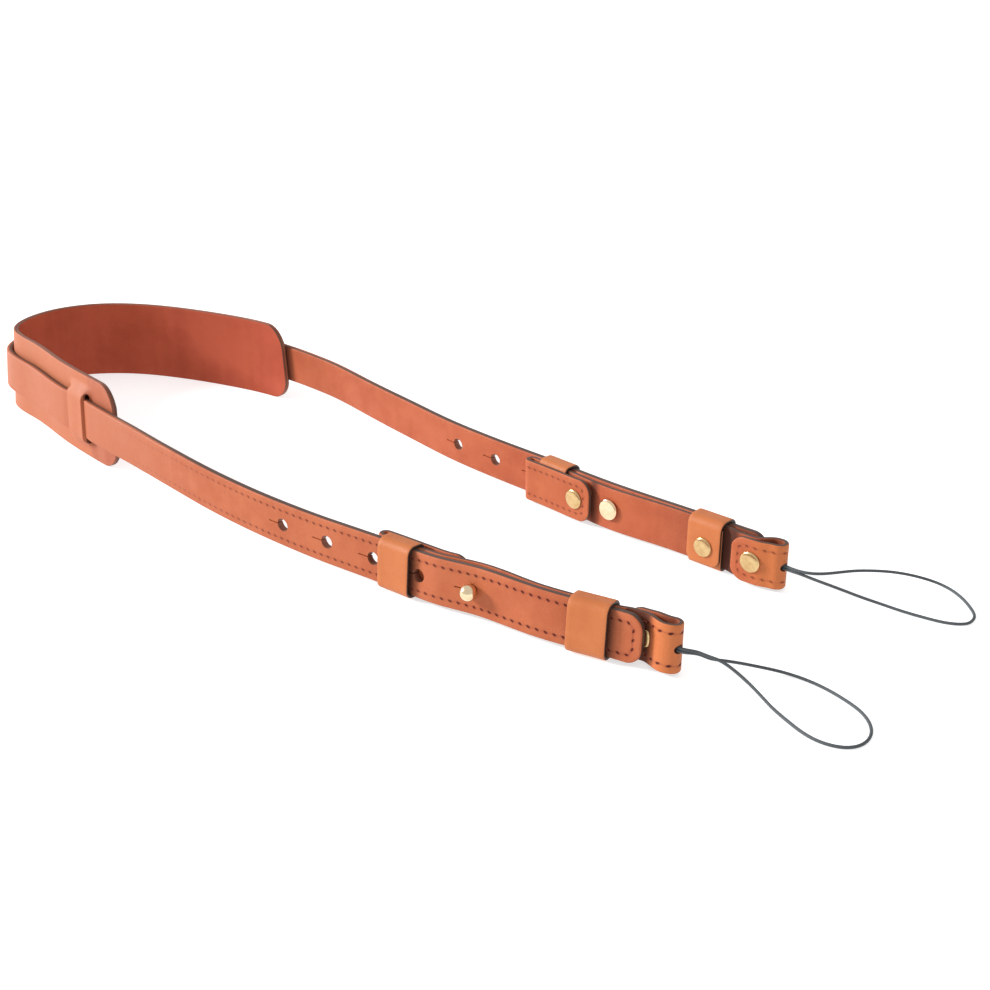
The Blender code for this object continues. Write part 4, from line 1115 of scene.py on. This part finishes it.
def addPad():
    size = {
        "length": pad["span"], "width": pad["width"],
        "thickness": pad["ply"] + pad["gap"] * padMesh["gapShare"],
        "startRadius": pad["cornerRadius"], "endRadius": pad["cornerRadius"],
        "rounding": pad["ply"] * padMesh["rounding"],
        "step": padMesh["step"], "across": padMesh["across"], "innerAcross": padMesh["across"],
    }
    routing = routeFrame([(padStart + s, 0.0) for s in np.linspace(0.0, pad["span"], 400)])
    lining = leatherPiece("padLining", size, routing, onLining, liningLeather)
    settle(lining, "lining_leather", "pad_lining")
    reach = padMesh["slitOpening"] / 2
    straight = pad["slitSpan"] / 2 - reach

    def slot(middle):
        def outline(grow):
            ends = [arcPoints((middle, turn * straight), reach + grow, start, start + 180, 12)
                    for turn, start in ((1, 0), (-1, 180))]
            return np.concatenate(ends)
        return prism(outline, flaredDepths(size["thickness"], padMesh["slitFlare"]))

    cutters = [slot(s - padStart) for s in slits]
    rims = [(s - padStart, 0.0, reach, straight) for s in slits]
    beside = reach + padMesh["slitFlare"]
    marks = [s - padStart + shift for s in slits for shift in (-beside, beside)]
    size["step"] = padMesh["outerStep"]
    outer = leatherPiece("padOuter", size, routing, onPadOuter, padLeather, cutters, rims, marks=marks,
                         paleAndSheen=padSheen)
    settle(outer, "strap_leather", "pad_outer")


addPad()
print("pad made")


# Main strap, with its holes and their slits

# painted shadow of the keepers on the leather under and beside them
keeperShade = {"share": 0.92, "before": 0.0008, "towardsCord": 0.0046, "towardsPad": 0.0010}
holesLook = {
    "diameter": 0.0045,
    "pitch": 0.0197,
    "count": 5,
    "slitLength": 0.0040,
    "slitWidth": 0.0004,
    "flare": 0.0001,
    "slitFlare": 0.6,         # of the hole's
}
strapLook = {
    "roundingShare": 1.2,
    "step": 0.0011,
    "stitchSteps": ((0.06, 0.0, 0.01), (0.60, 0.010, 0.12), (0.34, 0.13, 0.08)),  # share, start, run
    "stitchSeed": 11,
    "sheenRun": 0.09,
    "endShade": 0.6,          # painted shade on the inner face beyond keeper 2
    "padShade": 0.75,         # painted shadow of the pad's ends on the inner face beside them
    "padShadeFrom": 0.0005,
    "padShadeRun": 0.0045,
}


def strapSize(length, thickness, rounding, step):
    # a strip of the strap's width with its rounded corners
    return {
        "length": length, "width": strap["width"], "thickness": thickness,
        "startRadius": strap["cornerRadius"], "endRadius": strap["cornerRadius"], "rounding": rounding,
        "step": step, "across": 0.0016, "innerAcross": 0.0018,
    }


def shadeBeside(offset):
    # how much painted shade of a keeper falls on the leather at an offset from its middle
    beyond = np.abs(offset) - keeper["width"] / 2 + keeperShade["before"]
    reach = np.where(offset > 0, keeperShade["towardsCord"], keeperShade["towardsPad"])
    return keeperShade["share"] * (1 - smoothStep(beyond / reach))


def addMainStrap():
    start = strap["shift"] - strap["length"] / 2
    rounding = strap["rounding"] * strapLook["roundingShare"]
    size = strapSize(strap["length"], strap["thickness"], rounding, strapLook["step"])
    stations = np.linspace(start, start + strap["length"], 3000)
    routing = routeFrame(np.column_stack([stations, strapDip(stations) - strap["thickness"] / 2]))
    radius, half = holesLook["diameter"] / 2, holesLook["slitWidth"] / 2

    def fromPad(u):
        return np.abs(u - strap["length"] / 2) - pad["span"] / 2

    def stitched(u):
        # the stitches show less where the strap nears the pad
        steps = strapLook["stitchSteps"]
        return sum(share * smoothStep((fromPad(u) - begin) / run) for share, begin, run in steps)

    def paleAndSheen(u):
        # painted sheen: the strap grows paler towards the pad
        return 1 - smoothStep(fromPad(u) / strapLook["sheenRun"])

    def shade(u, side):
        # painted shade under the keepers and just beyond them
        found = np.zeros(len(u))
        for arm in arms.values():
            fromStud = arm["side"] * (u + start) - studStation
            for middle in (arm["keeper1"], arm["keeper2"]):
                found = np.maximum(found, shadeBeside(fromStud - middle))
            found = np.maximum(found, strapLook["endShade"] * (fromStud > arm["keeper2"]) * (side > 0))
        # and painted shadow beside the pad's ends
        beyondPad = np.abs(u + start - pad["shift"]) - pad["span"] / 2 - strapLook["padShadeFrom"]
        beside = 1 - smoothStep(beyondPad / strapLook["padShadeRun"])
        return np.maximum(found, strapLook["padShade"] * beside * (side > 0))

    def keyhole(middle, side):
        def outline(grow):
            wide, reach = half + grow * holesLook["slitFlare"], radius + grow
            far = -radius - holesLook["slitLength"] - grow
            turn = math.pi - math.asin(wide / reach)
            found = [(far, wide), (far, -wide)]
            found += [(reach * math.cos(a), -reach * math.sin(a)) for a in np.linspace(turn, -turn, 28)]
            return [(middle + side * x, y) for x, y in found]
        return prism(outline, flaredDepths(strap["thickness"], holesLook["flare"]))

    places = [(side * (studStation - k * holesLook["pitch"]) - start, side)
              for side in (-1, 1) for k in range(holesLook["count"])]
    cutters = [keyhole(*place) for place in places]
    holes = [(middle, 0.0, radius, 0.0) for middle, _ in places]
    piece = leatherPiece("mainStrap", size, routing, onCourse, strapLeather, cutters, holes, stitched,
                         paleAndSheen=paleAndSheen, shade=shade)
    settle(piece, "strap_leather", "main_strap")
    addStitches("mainStitches", size, routing, onCourse, strapLook["stitchSeed"])


addMainStrap()
print("strap made")


# Connectors

foldRadius = (connector["foldSwell"] - connector["thickness"]) / 2
foldLevel = outerFace + connector["thickness"] / 2 + foldRadius
flapRadius = (ply + keeper["thickness"] + strap["gap"]) / 2
flapX = connector["flapFold"] + connector["thickness"] / 2 + flapRadius
tabLift = connector["backCapHeight"] + strap["gap"]
swingStart = connector["tabRivet"] + connector["backCap"] / 2  # it swings outward beyond the back cap


def foldX(arm):
    return arm["foldEnd"] - connector["thickness"] / 2 - foldRadius


def slackAt(x):
    return connector["studSlack"] * smoothStep(1 - np.abs(x) / connector["slackRun"])


def liftAt(arm, x):
    start = arm["keeper2"] + keeper["width"] / 2 + connector["clearance"]
    return tabLift * smoothStep((x - start) / connector["tabLiftRun"])


def layerLevel(arm, x):
    plain = connectorLevel + slackAt(x) + liftAt(arm, x)
    start = connector["tabRivet"] + connector["swingLag"]
    swing = smoothStep((x - start) / (foldX(arm) - connector["swingRest"] - start))
    return plain + (foldLevel - foldRadius - plain) * swing


def flapLevel(arm, x):
    start = arm["keeper1"] + keeper["width"] / 2 + connector["clearance"]
    raised = 1 - connector["flapSettle"] * smoothStep((x - start) / connector["flapDescent"])
    return connectorLevel + slackAt(x) + ply + (keeper["thickness"] + strap["gap"]) * raised


def tabLevel(arm, x):
    plain = connectorLevel + ply + liftAt(arm, x)
    start = swingStart - connector["tabSwingLead"]
    back = smoothStep((x - start) / (foldX(arm) - start))
    return plain + (foldLevel + foldRadius - plain) * back


connectorLook = {
    "step": 0.0009,
    "routeStep": 0.0001,
    "flare": 0.0001,
    "stitchSeed": 20,
    "paler": (1.6, 0.009),            # reach and run, from the fold's middle
    "flapShade": (0.80, 0.0034),      # painted shade: share and run, beyond the flap's end
    "tabShade": (0.93, 0.0035),       # painted shade beyond the tab's end
    # painted shade along the long layer towards keeper 2
    "layerShade": (0.15, 0.012, 0.020),
    "behindShade": (0.85, -0.0004, 0.0030),  # painted shadow on the hidden side, beyond the strap's end
    "foldShade": (0.50, 1.9, 0.007),  # painted shade inside the fold
}


def connectorRoute(arm):
    # the connector's middle line, flap end first, and how far along it the fold's arc starts
    fold, step = foldX(arm), connectorLook["routeStep"]
    flap = np.arange(arm["flapEnd"], flapX, -step)
    layer = np.arange(flapX + step, fold, step)
    tab = np.arange(fold - step, connector["tabEnd"], -step)
    before = np.concatenate([
        np.column_stack([flap, flapLevel(arm, flap)]),
        arcPoints((flapX, connectorLevel + flapRadius), flapRadius, 90, 270),
        np.column_stack([layer, layerLevel(arm, layer)]),
    ])
    after = np.column_stack([tab, tabLevel(arm, tab)])
    whole = np.concatenate([before, arcPoints((fold, foldLevel), foldRadius, -90, 90), after])
    return whole, lengthsAlong(whole)[len(before)]


def addConnector(end, arm):
    side, look = arm["side"], connectorLook
    route, arcStart = connectorRoute(arm)
    routing = routeFrame(route)
    size = strapSize(routing[1][-1], connector["thickness"], strap["rounding"], look["step"])
    holeAt = arcStart + foldRadius * math.radians(90 + arm["holeTurn"])
    reach = connector["cordHole"] / 2
    layerStart = routing[1][np.argmin(route[:, 0])]

    def put(x, level, across):
        return onCourse(side * (studStation + x), level, across)

    def outline(grow):
        return arcPoints((holeAt, 0.0), reach + grow, 0, 360, 33)[:-1]

    def nearFold(u, extent, run):
        return smoothStep(extent - np.abs(u - arcStart - foldRadius * math.pi / 2) / run)

    def paler(u):
        # the leather grows lighter where it is folded round the cord
        return nearFold(u, *look["paler"])

    def shade(u, side):
        # painted shade on the long layer beside the flap, the keepers and the tab, and inside the fold
        x = np.interp(u, routing[1], route[:, 0])
        share, run = look["flapShade"]
        flap = share * (1 - smoothStep(np.abs(x - arm["flapEnd"]) / run))
        share, run = look["tabShade"]
        tab = share * (x > arm["keeper2"]) * (1 - smoothStep((x - connector["tabEnd"]) / run))
        share, begin, run = look["layerShade"]
        found = np.maximum(tab, share * smoothStep((x - begin) / run))
        for other in (flap, shadeBeside(x - arm["keeper1"]), shadeBeside(x - arm["keeper2"])):
            found = np.maximum(found, other)
        share, begin, run = look["behindShade"]
        behind = share * (1 - smoothStep((x - strap["endFromStud"] - begin) / run))
        found = np.where(side > -0.5, found, behind * (x > connector["tabEnd"]))
        share, extent, run = look["foldShade"]
        inside = share * nearFold(u, extent, run) * (side > 0)
        return np.maximum(found * (u > layerStart) * (u < arcStart), inside)

    def shows(u):
        return np.full(len(u), arm["stitchShow"])

    cutter = prism(outline, flaredDepths(size["thickness"], look["flare"]))
    name = "connector" + end.capitalize()
    piece = leatherPiece(name, size, routing, put, foldLeather, [cutter], [(holeAt, 0.0, reach, 0.0)],
                         shows, paleAndSheen=paler, shade=shade)
    settle(piece, "strap_leather", "connector_" + end)
    addStitches(name + "Stitches", size, routing, put, look["stitchSeed"] + side)


# Keepers

def keeperCorners(corners):
    # quarter turns of a keeper's middle line: level, side of the strap, radius and first angle
    return [arcPoints((level, turn * (keeperReach - radius)), radius, start, start + 90, 16)
            for level, turn, radius, start in corners]


def addKeeper(number, end, arm, route, step, **more):
    routing = routeFrame(np.concatenate(route))
    size = {
        "length": routing[1][-1], "width": keeper["width"], "thickness": keeper["thickness"],
        "startRadius": 0.0, "endRadius": 0.0, "rounding": keeper["thickness"] * keeper["rounding"],
        "step": step, "across": 0.0012, "innerAcross": 0.0012, **more,
    }

    def put(level, across, offset):
        return onCourse(arm["side"] * (studStation + arm[f"keeper{number}"] + offset), level, across)

    piece = leatherPiece(f"keeper{number}" + end.capitalize(), size, routing, put, keeperLeather)
    settle(piece, "keeper_leather", f"keeper_{number}_" + end)


def addKeepers(end, arm):
    half = keeper["thickness"] / 2
    inner, outer, top = keeper["corner"] + half, keeper["outerCorner"] + half, keeper["corner"] + 3 * half
    low, under = keeperOuterWall - half, keeperInnerWall + half
    over = under + keeper["thickness"] + strap["gap"]
    route = keeperCorners(((under - inner, -1, inner, -90), (under - inner, 1, inner, 0),
                           (low + outer, 1, outer, 90), (low + outer, -1, outer, 180)))
    addKeeper(1, end, arm, route + [route[0][:1]], 0.0005, closed=True)
    # keeper 2 goes from the tip of its over layer round the strap to the hidden end
    route = keeperCorners(((over - top, 1, top, 0), (low + outer, 1, outer, 90),
                           (low + outer, -1, outer, 180), (under - inner, -1, inner, 270)))
    tip = [(over, keeper["tipRise"] - strap["width"] / 2)]
    hidden = [(under, strap["width"] / 2 - keeper["underDrop"])]
    addKeeper(2, end, arm, [tip, *route, hidden], 0.0006, startRadius=keeper["tipRadius"])


for armName, armFit in arms.items():
    addConnector(armName, armFit)
    addKeepers(armName, armFit)
print("connectors and keepers made")


# Rivets and studs

metalLook = {
    "rivet": 0.0074,
    "keeperRivet": 0.0070,
    "rivetHeight": 0.0010,
    "shank": 0.0030,
    "shankDepth": 0.0012,
    "rimInset": 0.0001,
    "backFlatness": 0.8,
    "studBall": 0.0056,
    "studBase": 0.0078,
    "studBaseHeight": 0.0010,
    "studBevel": 0.0003,
    "studNeck": 0.0030,
    "sides": 48,
    "rollSeed": 5,
}
capForm = (  # shares of the cap's radius and height, rim first
    (1.0, 0.12), (1.0, 0.26), (0.985, 0.40), (0.955, 0.53), (0.90, 0.66),
    (0.80, 0.79), (0.66, 0.89), (0.48, 0.955), (0.28, 0.99), (0.0, 1.0),
)
discForm = ((1.0, 0.25), (1.0, 0.45), (0.97, 0.72), (0.91, 0.92), (0.82, 1.0), (0.0, 1.0))


def turnedMesh(name, profile, sides):
    # a turned body about Z: profile lists radius and height from pole to pole
    points, faces, rows = [], [], []
    for radius, height in profile:
        if radius < 1e-7:
            rows.append([len(points)])
            points.append((0.0, 0.0, height))
            continue
        rows.append(list(range(len(points), len(points) + sides)))
        points += [(x, y, height) for x, y in arcPoints((0.0, 0.0), radius, 0, 360, sides + 1)[:-1]]
    for low, high in zip(rows, rows[1:]):
        for k in range(sides):
            after = (k + 1) % sides
            if len(low) == 1:
                faces.append((low[0], high[k], high[after]))
            elif len(high) == 1:
                faces.append((low[k], low[after], high[0]))
            else:
                faces.append((low[k], low[after], high[after], high[k]))
    return meshFrom(name, points, faces)


def placedTree():
    # instances one object on points, its Z along "outward"
    tree, given = newTree("fittings", {
        "Geometry": "Geometry", "Fitting": "Object", "Seed": 3, "Material": "Material",
    }, ("Geometry",), "Geometry", "GeometryNodeTree")
    aligned = addNode(tree, "FunctionNodeAlignRotationToVector", {"Vector": namedVector(tree, "outward")},
                      axis="Z")[0]
    fitting = addNode(tree, "GeometryNodeObjectInfo", {"Object": given["Fitting"]})["Geometry"]
    return placeAll(tree, given, {
        "Points": given["Geometry"], "Instance": fitting, "Scale": namedVector(tree, "scale"),
        "Rotation": randomTurn(tree, aligned, 0.0, 6.283, given["Seed"]),
    })


placedNodes = placedTree()


def addFittings(name, profile, places, material, slot, replaced):
    # places lists a point, an outward direction and a scale for each fitting
    model = addObject(name + "Model", turnedMesh(name + "Model", profile, metalLook["sides"]))
    points, outward, scales = zip(*places)
    mesh = bpy.data.meshes.new(name)
    mesh.from_pydata([tuple(p) for p in points], [], [])
    addVectors(mesh, "outward", outward)
    addVectors(mesh, "scale", scales)
    made = runTree(name, mesh, placedNodes, {
        "Fitting": model, "Seed": metalLook["rollSeed"], "Material": material,
    })
    bpy.data.objects.remove(model, do_unlink=True)
    settle(finishPiece(name, made, material, 40), slot, *replaced)


def rivetProfile():
    shank, radius = metalLook["shank"] / 2, metalLook["rivet"] / 2
    bottom = -metalLook["shankDepth"]
    found = [(0.0, bottom), (shank, bottom), (shank, 0.0), (radius - metalLook["rimInset"], 0.0)]
    return found + [(radius * r, metalLook["rivetHeight"] * h) for r, h in capForm]


def studProfile():
    ball, neck, disc = metalLook["studBall"] / 2, metalLook["studNeck"] / 2, metalLook["studBase"] / 2
    centre = outerFace - strap["gap"] - math.sqrt(ball ** 2 - (holesLook["diameter"] / 2) ** 2)
    turns = np.radians(np.linspace(180, math.degrees(math.asin(neck / ball)), 22)[1:])
    base = connectorFace + float(slackAt(0.0)) + strap["gap"]
    found = [(0.0, centre - ball)]
    found += [(ball * math.sin(a), centre + ball * math.cos(a)) for a in turns]
    found += [(neck, base), (disc - metalLook["studBevel"], base)]
    return found + [(disc * r, base + metalLook["studBaseHeight"] * h) for r, h in discForm]


def addMetal():
    rivets, replaced, studs = [], [], []
    half = connector["thickness"] / 2
    keeperTop = keeperInnerWall + 2 * keeper["thickness"] + strap["gap"]
    onKeeper = metalLook["keeperRivet"] / metalLook["rivet"]
    behind = connector["backCap"] / metalLook["rivet"]
    for end, arm in arms.items():
        def at(x, level, across=0.0, side=arm["side"]):
            station = side * (studStation + x)
            return onCourse(station, float(level), across), axesAt(station)[1]

        flapAt, tabAt = connector["flapRivet"], connector["tabRivet"]
        rivets.append((*at(flapAt, flapLevel(arm, flapAt) + half), (1.0, 1.0, 1.0)))
        rivets.append((*at(tabAt, tabLevel(arm, tabAt) + half), (1.0, 1.0, 1.0)))
        rivets.append((*at(arm["keeper2"], keeperTop, keeper["rivetRise"]), (onKeeper, onKeeper, 1.0)))
        point, inward = at(tabAt, strap["gap"] + connector["backCapHeight"])
        rivets.append((point, -inward, (behind, behind, metalLook["backFlatness"])))
        replaced += ["flap_rivet_" + end, "tab_rivet_" + end, "keeper_rivet_" + end]
        studs.append((*at(0.0, 0.0), (1.0, 1.0, 1.0)))
    addFittings("rivets", rivetProfile(), rivets, rivetBrass, "rivet_brass", replaced)
    addFittings("studs", studProfile(), studs, studBrass, "stud_brass", ["stud_near", "stud_far"])


addMetal()
print("rivets and studs made")


# Cords

cordRoutes = {
    "near": (
        (0.1878, -0.0318, 0.00930), (0.1907, -0.0310, 0.00880), (0.1942, -0.0298, 0.00800),
        (0.1977, -0.0289, 0.00640), (0.2017, -0.0288, 0.00460), (0.2073, -0.0299, 0.00260),
        (0.2136, -0.0323, 0.00115), (0.2198, -0.0346, 0.00055), (0.2254, -0.0368, 0.00055),
        (0.2303, -0.0377, 0.00055), (0.2346, -0.0372, 0.00055), (0.2382, -0.0354, 0.00055),
        (0.2404, -0.0323, 0.00055), (0.2409, -0.0285, 0.00055), (0.2399, -0.0245, 0.00055),
        (0.2374, -0.0207, 0.00055), (0.2330, -0.0171, 0.00055), (0.2272, -0.0146, 0.00055),
        (0.2192, -0.0125, 0.00055), (0.2118, -0.0121, 0.00065), (0.2053, -0.0139, 0.00130),
        (0.2000, -0.0176, 0.00260), (0.1963, -0.0220, 0.00440), (0.1929, -0.0268, 0.00620),
        (0.1905, -0.0300, 0.00760), (0.1880, -0.0311, 0.00830),
    ),
    "far": (
        (0.1863, 0.0320, 0.00960), (0.1890, 0.0328, 0.00960), (0.1915, 0.0346, 0.00950),
        (0.1939, 0.0377, 0.00925), (0.1964, 0.0419, 0.00890), (0.1989, 0.0468, 0.00820),
        (0.2018, 0.0513, 0.00740), (0.2056, 0.0566, 0.00620), (0.2089, 0.0608, 0.00490),
        (0.2125, 0.0648, 0.00330), (0.2165, 0.0674, 0.00200), (0.2212, 0.0680, 0.00110),
        (0.2259, 0.0664, 0.00055), (0.2301, 0.0630, 0.00055), (0.2334, 0.0595, 0.00055),
        (0.2357, 0.0559, 0.00055), (0.2362, 0.0531, 0.00055), (0.2358, 0.0505, 0.00055),
        (0.2339, 0.0483, 0.00055), (0.2310, 0.0467, 0.00055), (0.2274, 0.0457, 0.00055),
        (0.2230, 0.0450, 0.00060), (0.2173, 0.0436, 0.00110), (0.2109, 0.0420, 0.00200),
        (0.2049, 0.0393, 0.00360), (0.1986, 0.0367, 0.00540), (0.1932, 0.0343, 0.00700),
        (0.1895, 0.0332, 0.00780), (0.1863, 0.0323, 0.00850),
    ),
}
cordLook = {
    "diameter": 0.0010,
    "start": 0.0013,
    "lead": 0.0036,
    "spread": 0.0005,
    "ringStep": 0.0003,
    "sides": 20,
    "braidPitch": 0.0024,
    "braidRelief": 0.07,
}

knotForm = {"radius": 0.0012, "reach": 0.0024, "ridge": 0.08, "turns": 3, "rings": 25, "sides": 24}


def cordHole(arm):
    # the fold's middle, and the directions out through its hole, across and up
    station = arm["side"] * (studStation + foldX(arm))
    along, level, up = axesAt(station)
    turn, ahead = math.radians(arm["holeTurn"]), along * arm["side"]
    out = ahead * math.cos(turn) + level * math.sin(turn)
    return onCourse(station, foldLevel, 0.0), out, level * math.cos(turn) - ahead * math.sin(turn), up


def cordLine(arm, route):
    # the cord's middle line: out of the fold's hole, round the loop and back in
    centre, out, _, up = cordHole(arm)
    shift = up * cordLook["spread"]
    leads = [centre + out * cordLook[key] for key in ("start", "lead")]
    whole = [tuple(p + shift) for p in leads] + list(route) + [tuple(p - shift) for p in leads[::-1]]
    dense = splineThrough(whole, 3000)[0]
    lengths = lengthsAlong(dense)
    where = np.linspace(0.0, lengths[-1], math.ceil(lengths[-1] / cordLook["ringStep"]) + 1)
    return readAt(where, lengths, dense), centre + out * (foldRadius + connector["thickness"] / 2)


def braidedTube(name, line, diameter):
    # a round cord with the crossing bumps of a braid
    tangent = unit(np.gradient(line, axis=0))
    sideways = np.cross(tangent[0], (0.0, 0.0, 1.0))
    sides, points = cordLook["sides"], []
    angles = np.linspace(0, 2 * math.pi, sides + 1)[:-1]
    for place, ahead, along in zip(line, tangent, lengthsAlong(line)):
        sideways = unit(sideways - ahead * np.dot(sideways, ahead))
        up = np.cross(ahead, sideways)
        turn = 2 * math.pi * along / cordLook["braidPitch"]
        bumps = np.cos(3 * angles + turn) * np.cos(3 * angles - turn)
        radius = diameter / 2 * (1 - cordLook["braidRelief"] * (0.5 - 0.5 * bumps))
        points += [place + (sideways * math.cos(angle) + up * math.sin(angle)) * reach
                   for angle, reach in zip(angles, radius)]
    return meshFrom(name, points, ringFaces(len(line), sides))


def addKnot(end, arm):
    # a small round knot inside the fold, wound with a few turns
    centre, out, across, up = cordHole(arm)
    form, profile = knotForm, []
    for share in np.linspace(0.0, 1.0, form["rings"]):
        ridge = 1 - form["ridge"] * (0.5 + 0.5 * math.cos(2 * math.pi * form["turns"] * share))
        profile.append((form["radius"] * math.sin(math.pi * share) * ridge,
                        -form["reach"] * math.cos(math.pi * share)))
    profile[0], profile[-1] = (0.0, -form["reach"]), (0.0, form["reach"])
    mesh = turnedMesh("knot", profile, form["sides"])
    co = np.array([v.co for v in mesh.vertices])
    placed = centre + co[:, :1] * out + co[:, 1:2] * across + co[:, 2:] * up
    mesh.vertices.foreach_set("co", placed.astype(np.float32).ravel())
    knot = finishPiece("stringKnot" + end.capitalize(), mesh, cordFibre)
    return settle(knot, "cord", "string_knot_" + end)


for armName, armFit in arms.items():
    cordPath, cordExit = cordLine(armFit, cordRoutes[armName])
    cordMesh = braidedTube("string", cordPath, cordLook["diameter"])
    cordPiece = finishPiece("string" + armName.capitalize(), cordMesh, cordFibre, 70)
    settle(cordPiece, "cord", "string_" + armName)
    cordKnot = addKnot(armName, armFit)
    tuple(cordExit)
    float(lengthsAlong(cordPath)[-1])
print("cords made")


# Studio: pale floor, soft light

studio = {
    "floorSize": 40.0,
    "floorColour": (0.60, 0.60, 0.60, 1),
    "floorLighter": (0.61, 0.61, 0.61, 1),
    "floorPatches": 3.0,
    "floorRoughness": 0.85,
    "floorSpecular": 0.1,
    "floorGlow": 0.62,
    "skyStrength": 0.80,
    "skyColour": (1.0, 1.0, 1.0, 1),
    "sunFrom": (-0.80, -0.46, 0.40),
    "sunStrength": 4.2,
    "sunAngleDeg": 14.0,
}


def addFloor():
    half = studio["floorSize"] / 2
    corners = [(-half, -half, 0), (half, -half, 0), (half, half, 0), (-half, half, 0)]
    material, tree, shader = newMaterial("paleFloor")
    tone = noise(objectPlace(tree), studio["floorPatches"])
    feed(shader, {
        "Base Color": blended(tone, studio["floorColour"], studio["floorLighter"]),
        "Roughness": studio["floorRoughness"], "Specular IOR Level": studio["floorSpecular"],
        "Emission Color": (1.0, 1.0, 1.0, 1), "Emission Strength": studio["floorGlow"],
    })
    floorMesh = meshFrom("floor", corners, [(0, 1, 2, 3)])
    floorMesh.materials.append(material)
    addObject("floor", floorMesh)


def addLight():
    world = bpy.data.worlds.new("studio")
    world.use_nodes = True
    feed(world.node_tree.nodes["Background"], {
        "Color": studio["skyColour"], "Strength": studio["skyStrength"],
    })
    bpy.context.scene.world = world
    light = bpy.data.lights.new("softKey", "SUN")
    light.energy, light.angle = studio["sunStrength"], math.radians(studio["sunAngleDeg"])
    lamp = addObject("softKey", light)
    x, y, z = studio["sunFrom"]
    lamp.location = (x, y, z)
    lamp.rotation_euler = (math.atan2(math.hypot(x, y), z), 0.0, math.atan2(x, -y))
    bpy.context.scene.view_settings.view_transform = "Standard"
    bpy.context.scene.view_settings.look = "None"


addFloor()
addLight()
print("studio made")
